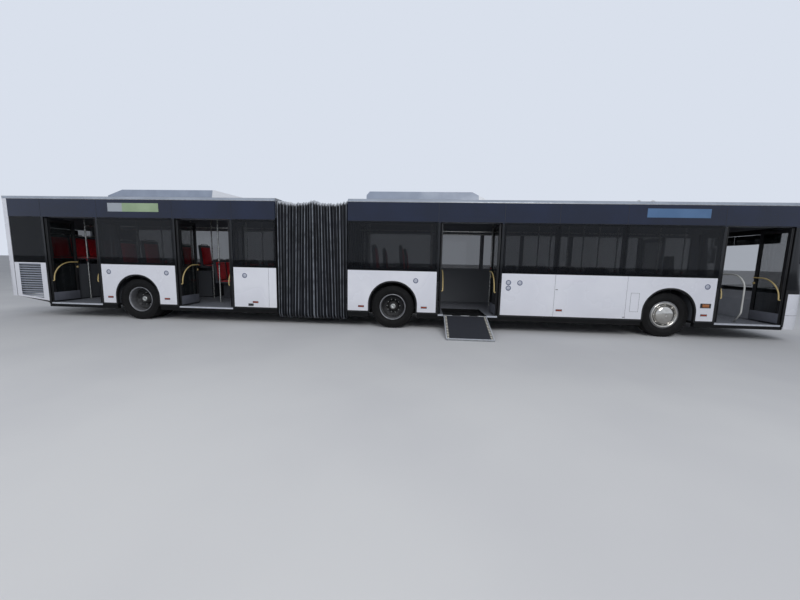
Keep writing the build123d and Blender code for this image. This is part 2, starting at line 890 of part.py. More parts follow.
def knuckle(side):
    """Steering knuckle: kingpin, two lugs round the beam's eye and the wheel spindle."""
    y = side * kingpin_place
    low = tyre_radius - hub_block - seat_gap
    high = tyre_radius + hub_block + seat_gap
    lug = Circle(eye_radius)
    body = along_z(Pos(axle_front, y) * Circle(kingpin_radius), low, high)
    body += along_z(Pos(axle_front, y) * lug, low - 30, low)
    body += along_z(Pos(axle_front, y) * lug, high, high + 30)
    y0, y1 = sorted((side * (kingpin_place + 62), side * (kingpin_place + 82)))
    body += block(axle_front - 55, axle_front + 55, y0, y1, low - 30, high + 30)
    for z0, z1 in ((low - 30, low), (high, high + 30)):
        ends = sorted((y, y1 if side > 0 else y0))
        body += block(axle_front - 55, axle_front + 55, ends[0], ends[1], z0, z1)
    start = (axle_front, side * (kingpin_place + 70), tyre_radius)
    end = (axle_front, side * (front_wheel_centre + front_web_face - 20), tyre_radius)
    return body + rod(start, end, spindle_radius)


def tyre(x, y):
    """Tyre with square shoulders and bulged walls."""
    w = tyre_width / 2
    wall_height = tyre_radius - bead_radius
    right = (
        (rim_width / 2, bead_radius),
        (w, bead_radius + 0.48 * wall_height),
        (w - 8, bead_radius + 0.78 * wall_height),
        (w - 30, tyre_radius),
    )
    left = tuple((-a, b) for a, b in reversed(right))
    ring = revolve(Plane.YZ * outline(*(right + left)), axis=Axis.Y)
    return Pos(x, y, tyre_radius) * ring


def rim_half(shift, face, edge, way):
    """Half section of a rim: barrel, dished web and its flat round the hub."""
    w = rim_width / 2
    inner = bead_radius - rim_wall
    barrel_part = outline(
        (shift - w, inner),
        (shift + w, inner),
        (shift + w, bead_radius),
        (shift - w, bead_radius),
    )
    web = outline(
        (face, 0),
        (face + way * rim_wall, 0),
        (face + way * rim_wall, web_flat_radius),
        (edge + way * rim_wall, inner + 1),
        (edge - way * rim_wall, inner + 1),
        (face, web_flat_radius + rim_wall),
    )
    return barrel_part + web


def front_rim(side):
    """Single rim whose web stands near the outer face, bored for the spindle."""
    face = front_web_face
    section = rim_half(0, face, web_edge, 1)
    section += rect(face - 60, face + front_hub_reach, 0, hub_radius)
    section -= rect(-rim_width, face - 10, 0, spindle_radius + seat_gap)
    ring = revolve(Plane.YZ * section, axis=Axis.Y)
    if side < 0:
        ring = mirror(ring, about=Plane.XZ)
    return Pos(axle_front, side * front_wheel_centre, tyre_radius) * ring


def twin_rims(x, side):
    """Two rims bolted web to web on one hub, bored for the axle end."""
    s = twin_spacing / 2
    edge = s - rim_width / 2 + 2 * rim_wall
    section = rim_half(s, 0, edge, 1) + rim_half(-s, 0, -edge, -1)
    section += rect(-twin_spacing / 2, twin_hub_reach, 0, hub_radius)
    section -= rect(-twin_spacing, -20, 0, spindle_radius + seat_gap)
    ring = revolve(Plane.YZ * section, axis=Axis.Y)
    if side < 0:
        ring = mirror(ring, about=Plane.XZ)
    return Pos(x, side * (twin_outer_centre - s), tyre_radius) * ring


# Bellows
def bellows():
    """Pleated tunnel between the sections, open along the bottom."""
    length = bellows_front - seat_gap - bellows_rear
    middle = (bellows_top + bellows_bottom) / 2
    ribs = []
    for index in range(2 * pleat_count + 1):
        inset = bellows_inset + (pleat_depth if index % 2 == 0 else 0)
        x = bellows_rear + length * index / (2 * pleat_count)
        height = bellows_top - bellows_bottom - 2 * (inset - bellows_inset)
        face = RectangleRounded(2 * (half - inset), height, bellows_corner - (inset - bellows_inset))
        ribs.append(Plane.YZ.offset(x) * Pos(0, middle) * face)
    tunnel = loft(ribs, ruled=True)
    depth = pleat_depth + bellows_cloth
    inner_y = half - bellows_inset - depth
    inner = RectangleRounded(2 * inner_y, bellows_top - bellows_bottom - 2 * depth, bellows_corner)
    tunnel -= along_x(Pos(0, middle) * inner, bellows_rear - 1, bellows_front + 1)
    slot_top = turntable_bottom + wall
    return tunnel - block(bellows_rear - 1, bellows_front + 1, -bellows_slot, bellows_slot, 0, slot_top)


# Doors
def jamb_point(jamb, way, u, v, z):
    """Point at a jamb: u along the wall into the opening, v inwards."""
    return (jamb + way * u, -half + v, z)


def leaf(jamb, way):
    """Open door leaf: frame, pane, pivot bosses and grab rail."""
    x0, x1 = sorted((jamb + way * open_leaf_gap, jamb + way * (open_leaf_gap + leaf_thickness)))
    y0 = -half + open_leaf_inset
    y1 = y0 + leaf_length
    frame = block(x0, x1, y0, y1, leaf_bottom, leaf_top)
    hole = (y0 + leaf_border, y1 - leaf_border, leaf_bottom + leaf_sill, leaf_top - leaf_border)
    frame -= block(x0 - 1, x1 + 1, *hole)
    middle = (x0 + x1) / 2
    pane = block(middle - pane_thickness / 2, middle + pane_thickness / 2, *hole)
    pivot = jamb_point(jamb, way, leaf_pivot_u, leaf_pivot_v, 0)
    boss_face = arm_rise + arm_thickness + seat_gap
    ends = ((floor_top + boss_face, leaf_bottom), (leaf_top, door_header - boss_face))
    for z0, z1 in ends:
        frame += along_z(Pos(pivot[0], pivot[1]) * Circle(boss_radius), z0, z1)
    depth = 30.0
    for z0, z1 in ((floor_top, leaf_bottom + depth), (leaf_top - depth, door_header)):
        frame -= along_z(Pos(pivot[0], pivot[1]) * Circle(pin_radius + seat_gap), z0, z1)
    face_u = open_leaf_gap + leaf_thickness
    rail_v = open_leaf_inset + leaf_border / 2
    far_v = open_leaf_inset + leaf_length - leaf_border / 2
    points = (
        jamb_point(jamb, way, face_u - 2, far_v, grab_top),
        jamb_point(jamb, way, face_u + grab_offset, far_v, grab_top),
        jamb_point(jamb, way, face_u + grab_offset, rail_v, grab_top),
        jamb_point(jamb, way, face_u + grab_offset, rail_v, grab_bottom),
        jamb_point(jamb, way, face_u - 2, rail_v, grab_bottom),
    )
    frame += bent_tube(points, (28, grab_bend, 28), grab_radius)
    return frame, pane


def door_post(jamb, way):
    """Turning post with an arm to the leaf's pivot above and below."""
    foot = jamb_point(jamb, way, -post_setback, post_depth, 0)
    tip = jamb_point(jamb, way, leaf_pivot_u, leaf_pivot_v, 0)
    post = along_z(Pos(foot[0], foot[1]) * Circle(post_radius), floor_top + seat_gap, door_header - seat_gap)
    reach = hypot(tip[0] - foot[0], tip[1] - foot[1])
    angle = degrees(atan2(tip[1] - foot[1], tip[0] - foot[0]))
    bar = rect(0, reach, -arm_width / 2, arm_width / 2) + Pos(reach, 0) * Circle(arm_width / 2)
    bar = Pos(foot[0], foot[1]) * Rot(0, 0, angle) * bar
    low = floor_top + arm_rise
    high = door_header - arm_rise
    post += along_z(bar, low, low + arm_thickness)
    post += along_z(bar, high - arm_thickness, high)
    pin = Pos(tip[0], tip[1]) * Circle(pin_radius)
    post += along_z(pin, low, leaf_bottom + 20)
    post += along_z(pin, leaf_top - 20, high)
    return post


# Saloon
seat_width = 440.0
seat_rise = 330.0
# Side view of a seat facing forward, from the floor that it stands on: distance forward, height
seat_shell = (
    (0, 430),
    (400, 440),
    (432, 462),
    (415, 485),
    (62, 478),
    (0, 1070),
    (-45, 1085),
    (-60, 1050),
    (-12, 440),
)
seat_floor = floor_top
tub_floor = tub_top + tub_wall
seat_to_wall = 20.0
seat_between = 15.0
seat_length = 432.0
seat_end_gap = 46.0
row_pitch = 750.0
short_row_pitch = 710.0
back_row_pitch = 450.0
outer_seat = half - wall - seat_to_wall - seat_width / 2
inner_seat = outer_seat - seat_width - seat_between
left_pair = (inner_seat, outer_seat)
window_seats = (-outer_seat, outer_seat)
four_seats = (-outer_seat, -inner_seat, inner_seat, outer_seat)


def row_places(start, end, pitch):
    """Places of the backs of the rows that fit between two limits."""
    count = int((end - seat_length - seat_end_gap - start) // pitch) + 1
    return [start + pitch * index for index in range(max(0, count))]


def seat_rows(places, sides, floor, foot):
    """Rows as table lines: place of the back, sides, floor they stand on, length of the foot."""
    return [{"x": x, "y": sides, "floor": floor, "foot": foot} for x in places]


back_count = int(2 * (half - wall) // back_row_pitch)
back_row = [back_row_pitch * (index - (back_count - 1) / 2) for index in range(back_count)]
tub_reach = tub_half + tub_wall
front_places = row_places(door_2[1] + 737, axle_front - tub_reach, row_pitch)
rear_left_places = row_places(bay_wall + 285, axle_rear - tub_reach, short_row_pitch)
middle_places = row_places(axle_rear + 880, bellows_rear - portal_depth, row_pitch)
behind_door_3 = row_places(door_3[1] + 330, bellows_rear - portal_depth, row_pitch)
front_rows = seat_rows((axle_middle - 430, axle_middle + 170), window_seats, tub_floor - seat_rise, 0)
front_rows += seat_rows(front_places, four_seats, seat_floor, 1)
rear_rows = seat_rows((560.0,), back_row, podium_top - seat_rise, 0)
rear_rows += seat_rows(rear_left_places, left_pair, seat_floor, 1)
rear_rows += seat_rows((axle_rear - 440, axle_rear + 140), window_seats, tub_floor - seat_rise, 0)
rear_rows += seat_rows(middle_places, left_pair, seat_floor, 1)
rear_rows += seat_rows(behind_door_3, (-outer_seat,), seat_floor, 1)


def seat(x, y, base, has_foot):
    shape = outline(*((x + u, base + v) for u, v in seat_shell))
    body = along_y(shape, y - seat_width / 2, y + seat_width / 2)
    foot_bottom = base if has_foot else base + seat_rise
    foot = block(x + 110, x + 290, y - 60, y + 60, foot_bottom, base + 436)
    return body + foot


def seats(rows):
    return [seat(row["x"], y, row["floor"], row["foot"]) for row in rows for y in row["y"]]


pole_radius = 17.0
rail_end_gap = 120.0
rail_height = 2240.0
rail_place = 400.0


def between_rows(places, reach):
    """Poles in the gaps between rows, counted from each row's back."""
    return [x + reach for x in places[:-1]]


front_poles = [bellows_front + 220, axle_middle + 860, door_2[1] + 107]
front_poles += between_rows(front_places, 560) + [axle_front - 675, door_1[0] - 70]
rear_poles = [bay_wall + 125] + between_rows(rear_left_places, 540) + [axle_rear - 720, axle_rear + 740]
rear_poles += between_rows(middle_places, 570) + [bellows_rear - 250]


def ceiling(y):
    """Height of the inner roof at a distance from the middle."""
    slope = (roof_crown - roof_edge_top) / half
    return roof_crown - wall - slope * abs(y) - 1.5


def handrails(x0, x1, places):
    """Two rails under the ceiling, carried by poles from floor to roof."""
    frames = []
    for side in (-1, 1):
        y = side * rail_place
        rail = rod((x0, y, rail_height), (x1, y, rail_height), pole_radius)
        poles = [along_z(Pos(x, y) * Circle(pole_radius), floor_top, ceiling(y)) for x in places]
        frames.append(rail + poles)
    return frames


# Driver's place: distances back from the front end, to the left of the middle line, and heights
cab_side = 380.0
cab_floor = floor_top + 180
dash_shape = ((610, 530), (440, 530), (150, 700), (150, 990), (380, 1130), (610, 1050))
console_shape = ((340, 350), (120, 350), (140, 980), (240, 1000), (340, 800))
chair_shape = ((0, 400), (470, 420), (480, 520), (90, 510), (30, 1250), (-90, 1250), (-80, 440))
chair_depth = 1380.0
chair_inset = 445.0
chair_half = 240.0
steering_depth = 760.0
steering_height = 1180.0
steering_tilt = 28.0
console_inset = 225.0


def from_front(shape):
    """Outline whose places are counted back from the front end."""
    return outline(*((bus_length - x, z) for x, z in shape))


def driver_cab():
    """Partition, cab door, dashboard, raised floor, seat and steering wheel."""
    y0, y1 = cab_side, half - wall
    x0 = door_1[0] + 40
    podium = block(x0, front_cap_start - 20, y0, y1, floor_top, cab_floor)
    partition = block(x0, x0 + 30, y0, y1, floor_top, 2250)
    partition -= block(x0 - 1, x0 + 31, y0 + 80, y1 - 80, 1350, 2150)
    door = block(x0, front_cap_start - 150, y0, y0 + 30, floor_top, 1250)
    dash = along_y(from_front(dash_shape), y0, y1 - 60)
    console = along_y(from_front(console_shape), -(half - console_inset), y0)
    saloon = block(x0 - wall, front_cap_start, -(half - wall), half - wall, floor_top, roof_seam)
    room = front_end(wall) + saloon
    cab = (podium + partition + door + dash + console) & room
    chair_x, chair_y = bus_length - chair_depth, half - chair_inset
    chair_side = Pos(chair_x, cab_floor) * outline(*chair_shape)
    cab += along_y(chair_side, chair_y - chair_half, chair_y + chair_half)
    foot_sides = chair_y - 150, chair_y + 150
    cab += block(chair_x + 80, chair_x + 380, *foot_sides, cab_floor, cab_floor + 405)
    hub = (bus_length - steering_depth, chair_y, steering_height)
    foot = (hub[0] + 220, chair_y, hub[2] - 200)
    wheel = Pos(*hub) * Rot(0, -steering_tilt, 0) * (Torus(230, 16) + Box(440, 36, 14) + Cylinder(60, 30))
    return cab + wheel + rod(hub, foot, 35)


def roof_unit(unit, axle):
    """Roof housing: upright or sloping ends, sides leaning in, seated on the roof."""
    low = roof_edge_top - roof_unit_sink
    rear, front = (axle + x for x in unit["base"])
    top_rear, top_front = (axle + x for x in unit["top"])
    profile = outline(
        (rear, low),
        (front, low),
        (front, low + unit["front_step"]),
        (top_front, roof_unit_top),
        (top_rear, roof_unit_top),
        (rear, low + unit["rear_step"]),
    )
    section = outline(
        (-roof_unit_half, low),
        (roof_unit_half, low),
        (roof_unit_half - roof_unit_lean, roof_unit_top),
        (roof_unit_lean - roof_unit_half, roof_unit_top),
    )
    body = along_y(profile, -roof_unit_half, roof_unit_half) & along_x(section, rear, front)
    return body - along_x(cross_section(), rear - 1, front + 1)


def mirrors():
    """Two mirror heads hung ahead of the front corners on bent arms."""
    pieces = []
    head_depth = 90.0
    head_width = 210.0
    for side in (-1, 1):
        head_y = side * (half + mirror_out - head_width / 2)
        head_x = bus_length + mirror_reach - head_depth / 2
        head = Pos(head_x, head_y, mirror_height) * Box(head_depth, head_width, 430)
        head = fillet(head.edges().filter_by(Axis.X), 45)
        points = (
            (bus_length - 320, side * (half - 125), roof_edge_top - 30),
            (head_x, side * (half - 125), roof_edge_top - 60),
            (head_x, head_y, roof_edge_top - 160),
            (head_x, head_y, mirror_height + 190),
        )
        pieces.append(head + (bent_tube(points, (90, 70), 20) - front_outer))
    return pieces


# Write every node
for name, body in (
    ("front_underframe", front_underframe()),
    ("rear_underframe", rear_underframe()),
    ("front_mask", front_mask()),
    ("rear_mask", rear_mask()),
    ("engine", engine()),
    ("front_axle", front_axle()),
    ("middle_axle", twin_axle(axle_middle)),
    ("rear_axle", twin_axle(axle_rear)),
    ("knuckle_left", knuckle(1)),
    ("knuckle_right", knuckle(-1)),
    ("bellows", bellows()),
    ("ramp", ramp()),
    ("driver_cab", driver_cab()),
    ("front_roof_unit", roof_unit(front_unit, axle_middle)),
    ("rear_roof_unit", roof_unit(rear_unit, axle_rear)),
):
    save(name, body)

front_roof_cap = front_shell & level(roof_seam, roof_crown + wall)
rear_roof_cap = (rear_outer & level(roof_seam, roof_crown + wall)) - rear_room
save("front_roof", roof("front") + front_roof_cap)
save("rear_roof", roof("rear") + rear_roof_cap)

front_portal = portal(bellows_front, bellows_front + portal_depth)
rear_portal = portal(bellows_rear - portal_depth, bellows_rear)
save("front_side_walls", side_wall("front", -1) + side_wall("front", 1) + front_frame() + front_portal)
save("rear_side_walls", side_wall("rear", -1) + side_wall("rear", 1) + rear_portal)

for section in ("front", "rear"):
    panels = [skirt(span, side, section) for side in (-1, 1) for span in sections[section]["panels"][side]]
    if section == "rear":
        panels += [louvre_panel(side) for side in (-1, 1)]
    save(f"{section}_skirts", *panels)

save("front_glazing", windscreen(), *glazing("front"))
save("rear_glazing", rear_pane(), *glazing("rear"))
save("headlamps", *headlamps())
save("tail_lamps", *tail_lamps())
save("mirrors", *mirrors())
save("front_seats", *seats(front_rows))
save("rear_seats", *seats(rear_rows))
save("front_handrails", *handrails(bellows_front + rail_end_gap, door_1[0] - 20, front_poles))
save("rear_handrails", *handrails(bay_wall + 105, bellows_rear - 150, rear_poles))

for side, side_name in ((-1, "right"), (1, "left")):
    save(f"tyre_front_{side_name}", tyre(axle_front, side * front_wheel_centre))
    save(f"rim_front_{side_name}", front_rim(side))
    for axle, axle_name in ((axle_middle, "middle"), (axle_rear, "rear")):
        pair = [tyre(axle, side * centre) for centre in (twin_outer_centre, twin_inner_centre)]
        save(f"tyres_{axle_name}_{side_name}", *pair)
        save(f"rims_{axle_name}_{side_name}", twin_rims(axle, side))

for number in door_centres:
    low, high = door_span(number)
    for jamb, way, place in ((low, 1, "rear"), (high, -1, "front")):
        save(f"door_{number}_{place}_leaf", *leaf(jamb, way))
        save(f"door_{number}_{place}_post", door_post(jamb, way))
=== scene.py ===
import bmesh
import bpy
import json
import math
from mathutils import Matrix, Vector

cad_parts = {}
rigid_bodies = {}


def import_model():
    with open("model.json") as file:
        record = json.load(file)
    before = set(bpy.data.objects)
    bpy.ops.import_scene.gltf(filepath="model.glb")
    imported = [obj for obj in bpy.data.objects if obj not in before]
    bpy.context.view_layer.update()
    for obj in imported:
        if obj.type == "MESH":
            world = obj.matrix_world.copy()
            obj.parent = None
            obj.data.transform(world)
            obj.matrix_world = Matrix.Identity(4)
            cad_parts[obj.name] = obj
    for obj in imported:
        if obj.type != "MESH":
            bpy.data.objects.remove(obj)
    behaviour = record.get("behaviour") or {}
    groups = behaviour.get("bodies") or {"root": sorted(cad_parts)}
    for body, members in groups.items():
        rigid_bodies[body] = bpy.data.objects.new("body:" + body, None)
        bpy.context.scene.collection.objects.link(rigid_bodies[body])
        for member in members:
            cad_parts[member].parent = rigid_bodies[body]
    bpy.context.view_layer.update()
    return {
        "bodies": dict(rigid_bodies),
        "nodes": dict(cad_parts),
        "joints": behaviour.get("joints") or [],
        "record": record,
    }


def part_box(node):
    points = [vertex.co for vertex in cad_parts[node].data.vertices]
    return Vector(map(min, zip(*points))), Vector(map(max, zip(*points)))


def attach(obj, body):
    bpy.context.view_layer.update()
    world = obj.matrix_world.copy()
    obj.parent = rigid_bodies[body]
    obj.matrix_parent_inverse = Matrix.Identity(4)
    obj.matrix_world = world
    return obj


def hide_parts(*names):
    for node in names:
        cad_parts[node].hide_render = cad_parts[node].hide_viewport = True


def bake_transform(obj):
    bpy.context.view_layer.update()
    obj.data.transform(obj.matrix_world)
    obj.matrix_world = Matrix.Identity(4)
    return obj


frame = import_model()
nodes = frame["nodes"]

# Places are written in metres from the bus's rear end, its middle line (left is positive) and the ground.
rear_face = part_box("rear_mask")[0].x
middle_line = sum(corner.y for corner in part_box("rear_mask")) / 2
HALF = 1.275
SKIN = 0.008
FLOOR = 0.350
WINDOW_TOP = 2.355
ROOF_SEAM = 2.760
PIVOT = 7.565
DOOR_CENTRES = {1: 16.815, 2: 11.048, 3: 5.055, 4: 1.850}
DOOR_WIDTH = 1.300
AXLES = {"front": 15.235, "middle": 9.390, "rear": 3.400}
TYRE_RADIUS = 0.479
# Wheel centres, counted from the middle line
STEERED_WHEEL, OUTER_TWIN, INNER_TWIN = 1.050, 1.098, 0.778
RAMP_CENTRE, RAMP_HALF = 10.995, 0.475


def library(point):
    """Place in the frame's own axes."""
    return Vector((point[0] + rear_face, point[1] + middle_line, point[2]))


# Materials
def linear(code):
    """sRGB hex colour as linear RGBA."""
    values = []
    for index in (1, 3, 5):
        value = int(code[index:index + 2], 16) / 255
        values.append(value / 12.92 if value <= 0.04045 else ((value + 0.055) / 1.055) ** 2.4)
    return (*values, 1.0)


def add(tree, kind, settings=None, **inputs):
    """Add a node, with its settings, and set or link its inputs by name."""
    node = tree.nodes.new(kind)
    for name, value in (settings or {}).items():
        setattr(node, name, value)
    for name, value in inputs.items():
        socket = node.inputs[int(name[1:]) if name[0] == "_" else name.replace("_", " ")]
        value = value.socket if isinstance(value, Value) else value
        if isinstance(value, bpy.types.NodeSocket):
            tree.links.new(value, socket)
        else:
            socket.default_value = value
    return node


class Value:
    """A number at each point of a surface; its limits are counted from a start."""

    def __init__(self, tree, socket, start=0.0):
        self.tree, self.socket, self.start = tree, socket, start

    def maths(self, operation, *others):
        """The result of one maths node."""
        inputs = {f"_{index}": one for index, one in enumerate((self, *others))}
        node = add(self.tree, "ShaderNodeMath", {"operation": operation}, **inputs)
        return Value(self.tree, node.outputs[0])

    def __gt__(self, limit):
        return self.maths("GREATER_THAN", self.start + limit)

    def __lt__(self, limit):
        return self.maths("LESS_THAN", self.start + limit)

    def __mul__(self, other):
        return self.maths("MULTIPLY", other)

    def __or__(self, other):
        return self.maths("MAXIMUM", other)

    def off(self, middle):
        """Distance from a middle, either way."""
        return self.maths("SUBTRACT", self.start + middle).maths("ABSOLUTE")

    def near(self, middle, reach):
        return self.off(middle) < reach

    def within(self, low, high):
        return (self > low) * (self < high)


class Spot:
    """Where a point of the surface lies on the bus, and which way it faces."""

    def __init__(self, tree):
        place = add(tree, "ShaderNodeTexCoord").outputs["Object"]
        place = add(tree, "ShaderNodeSeparateXYZ", Vector=place).outputs
        facing = add(tree, "ShaderNodeNewGeometry").outputs["Normal"]
        facing = add(tree, "ShaderNodeSeparateXYZ", Vector=facing).outputs
        self.tree = tree
        self.x = Value(tree, place[0], rear_face)
        self.y = Value(tree, place[1], middle_line)
        self.z = Value(tree, place[2])
        self.ahead, self.up = Value(tree, facing[0]), Value(tree, facing[2])
        self.away = self.y.off(0.0)


def grain(tree, size_mm, detail=3.0):
    """Noise whose spots are size_mm across on the object."""
    place = add(tree, "ShaderNodeTexCoord").outputs["Object"]
    noise = add(tree, "ShaderNodeTexNoise", Vector=place, Scale=1000 / size_mm, Detail=detail)
    return Value(tree, noise.outputs["Fac"])


def ramp_between(tree, value, low, high, out_low=0.0, out_high=1.0):
    settings = {"interpolation_type": "SMOOTHSTEP"}
    limits = {"From_Min": low, "From_Max": high, "To_Min": out_low, "To_Max": out_high}
    return Value(tree, add(tree, "ShaderNodeMapRange", settings, Value=value, **limits).outputs[0])


def mixed(tree, factor, first, second):
    """Colour or number between two, by a factor."""
    if isinstance(first, (int, float)) or isinstance(second, (int, float)):
        return add(tree, "ShaderNodeMix", {"data_type": "FLOAT"}, _0=factor, _2=first, _3=second).outputs[0]
    first, second = (linear(one) if isinstance(one, str) else one for one in (first, second))
    return add(tree, "ShaderNodeMix", {"data_type": "RGBA"}, _0=factor, _6=first, _7=second).outputs[2]


def shader_of(made):
    """The shader node of a material."""
    return next(node for node in made.node_tree.nodes if node.type == "BSDF_PRINCIPLED")


def finish(
    name, colour, patch, rough, patch_mm=300, bump_mm=0.0, bump_size=3, dust=None, zones=None, **shader
):
    """A material: two close colours in patches, a fine relief, road dust low down and zones."""
    made = bpy.data.materials.new(name)
    made.use_nodes = True
    tree = made.node_tree
    tree.nodes.clear()
    spots = ramp_between(tree, grain(tree, patch_mm), 0.35, 0.65)
    shade = mixed(tree, spots, colour, patch)
    gloss = mixed(tree, spots, *rough)
    at = Spot(tree)
    for mask, zone_colour, zone_rough in zones(at) if zones else ():
        shade = mixed(tree, mask, shade, zone_colour)
        gloss = mixed(tree, mask, gloss, zone_rough)
    if dust:
        height, dust_colour, strength = dust
        film = ramp_between(tree, at.z, height, 0.0, 0.0, strength) * grain(tree, 90, 5.0)
        shade = mixed(tree, film, shade, dust_colour)
        gloss = mixed(tree, film, gloss, 0.8)
    body = add(tree, "ShaderNodeBsdfPrincipled", Base_Color=shade, Roughness=gloss, **shader)
    if bump_mm:
        height = grain(tree, bump_size, 2.0)
        relief = add(tree, "ShaderNodeBump", Height=height, Distance=bump_mm / 1000, Strength=1.0)
        tree.links.new(relief.outputs[0], body.inputs["Normal"])
    add(tree, "ShaderNodeOutputMaterial", Surface=body.outputs[0])
    return made


# Zones: a mask, the colour and the roughness inside it; later ones lie over earlier ones
def wall_zones(at):
    """Darker band beside the panes, grey lining inside, rubber lips round the arches, satin black jambs."""
    return (
        (at.z < 2.335, "#090b10", 0.08),
        (at.away < HALF - SKIN - 0.03, "#6f7278", 0.6),
        ((at.z < 1.08) * (at.away > HALF - 0.02), "#141416", 0.75),
        ((at.ahead.maths("ABSOLUTE") > 0.6) * (at.z < 2.40), "#0b0b0d", 0.6),
    )


def roof_zones(at):
    """Moulded grey ceiling on the faces that look down."""
    lining = (at.up < -0.05) * (at.z < 2.86)
    sides = (at.away < HALF - 0.03) * (at.z < 2.83)
    return ((lining, "#8b8e93", 0.55), (sides, "#8b8e93", 0.55))


def cab_zones(at):
    """Dark dashboard top, seat and wheel, grey walls of the cab."""
    dash = (at.x > 17.270) * (at.z > 0.985)
    chair = (at.x > 16.400) * (at.y > 0.500) * (at.z > 0.560)
    return ((dash, "#1c1d20", 0.55), (chair, "#202125", 0.65))


def unit_zones(at):
    """White lid and white front caps on the roof housings; the sides keep the darker grey-blue base, which is
    painted shade.
    """
    return (
        (at.up > 0.6, "#d3d7de", 0.4),
        (at.x.within(5.060, 5.900), "#dadde3", 0.35),
        (at.x > 11.240, "#d6dae0", 0.35),
    )


def louvre_zones(at):
    """Painted shade: the slats behind the face of the rear corner panels are grey-blue."""
    return (((at.away < HALF - 0.0035) * (at.x < 1.08), "#98a0af", 0.4),)


def floor_zones(at):
    """Speckled vinyl on the walked faces, grey lining above the floor."""
    speckle = ramp_between(at.tree, grain(at.tree, 9, 1.0), 0.56, 0.66)
    vinyl = mixed(at.tree, speckle, "#6b6e76", "#92969f")
    walked = (at.z > FLOOR - 0.004) * (at.up > 0.5)
    return ((at.z > FLOOR + 0.02, "#55585e", 0.6), (walked, vinyl, 0.55))


def lamp_zones(at):
    """Amber and clear fields between the red ones of a rear lamp."""
    gaps = [(at.z.near(z, 0.003), "#1a1a1c", 0.4) for z in (1.085, 1.150, 1.165, 1.235)]
    return ((at.z.within(1.165, 1.235), "#c8742c", 0.15), (at.z.within(1.085, 1.150), "#b9bcc0", 0.12), *gaps)


def mask_zones(at):
    """Grey lining on the inner faces of an end, seams on the outer ones, and dark stripes of painted shade
    for the slots of the rear grille.
    """
    behind, front = at.x < 0.34, at.x > 17.40
    inside = at.away < HALF - 0.03
    slot_shade_stripes = at.z.maths("DIVIDE", 0.032).maths("FRACT") < 0.42
    dark = (
        front * at.z.near(0.560, 0.003),
        front * at.z.near(0.800, 0.002) * (at.away < 1.150),
        front * at.away.near(0.700, 0.002) * at.z.within(0.560, 0.800),
        behind * at.away.near(0.920, 0.003) * at.z.within(0.620, 1.400),
        behind * (at.z.near(0.620, 0.003) | at.z.near(1.400, 0.003)) * (at.away < 0.920),
        # Dark stripes across the rear grille: painted shade in its slots.
        behind * slot_shade_stripes * (at.away < 0.550) * at.z.within(0.736, 1.056),
    )
    return (
        (behind * (at.ahead > 0.1) * inside, "#8d9095", 0.6),
        (front * (at.ahead < -0.1) * inside, "#5b5e64", 0.6),
        *((mask, "#16171a", 0.5) for mask in dark),
    )


def screen_zones(at):
    """Clearer windscreen; enamelled rims on the windscreen and on the rear pane."""
    ahead, astern = at.x > 17.60, at.x < 0.20
    rims = (
        ahead * (at.away > 1.062), ahead * (at.z < 1.062), ahead * (at.z > 2.290),
        astern * (at.away > 0.852), astern * (at.z < 1.528), astern * (at.z > 2.202),
    )
    return ((ahead, 0.30), *((mask, 1.0) for mask in rims))


def display_reflection_zones(at):
    """Painted reflection: the left third of the rear side display is greyer than the rest."""
    return ((at.x < 3.180, "#9ca3ab", 0.2),)


# Acrylic lacquer on flat aluminium sheet: clear gloss over a slow ripple, road film near the ground, painted
# shade on the recessed louvre slats.
white_lacquer = finish(
    "acrylic_lacquer_white", "#e6e8f0", "#dfe1ea", (0.22, 0.30), 700, 0.5, 260,
    dust=(0.75, "#b9b4ab", 0.35), zones=louvre_zones, Coat_Weight=0.5, Coat_Roughness=0.06,
)
end_lacquer = finish(
    "acrylic_lacquer_white_ends", "#e6e8f0", "#dfe1ea", (0.22, 0.30), 700, 0.3, 260,
    dust=(0.75, "#b9b4ab", 0.35), zones=mask_zones, Coat_Weight=0.5, Coat_Roughness=0.06,
)
# Piano-black lacquer on the window band: a deep mirror with a slow ripple.
black_lacquer = finish(
    "polyurethane_lacquer_black", "#0d1830", "#111d39", (0.05, 0.10), 900, 0.4, 320,
    zones=wall_zones, IOR=1.46,
)
# Lacquered glass-fibre roof, half dull from weather: its pale coat is darkened to grey-blue as painted shade.
roof_lacquer = finish(
    "glass_fibre_roof_lacquered", "#9ea7b5", "#949dab", (0.42, 0.58), 420, 0.25, 60, zones=roof_zones
)
# Moulded glass-fibre housings: the same pale coat, a little smoother; their sides are darkened to grey-blue
# as painted shade, lids and front caps stay white.
unit_fibre = finish(
    "glass_fibre_moulded", "#949eb0", "#8b95a7", (0.35, 0.5), 350, 0.2, 40, zones=unit_zones, Coat_Weight=0.2
)
# Body-tinted toughened glass: nearly black outside, with the seats behind it just showing.
tinted_glass = finish("toughened_glass_tinted", "#04060b", "#070a10", (0.0, 0.02), 800, 0.12, 420, IOR=1.4)
alpha = 0.58
for screen_mask, other_alpha in screen_zones(Spot(tinted_glass.node_tree)):
    alpha = mixed(tinted_glass.node_tree, screen_mask, alpha, other_alpha)
tinted_glass.node_tree.links.new(alpha, shader_of(tinted_glass).inputs["Alpha"])
door_glass = finish("toughened_glass_clear", "#0c1112", "#101617", (0.0, 0.02), 800, 0.1, 420, Alpha=0.42)
# Electro-dipped chassis steel with a vinyl floor on top; the steel is darkened past its own black-grey as
# painted shade under the bus.
chassis_steel = finish(
    "electrocoated_steel", "#08090b", "#0c0d0f", (0.55, 0.75), 160, 0.4, 8,
    dust=(0.6, "#2b2824", 0.2), zones=floor_zones, Specular_IOR_Level=0.2,
)
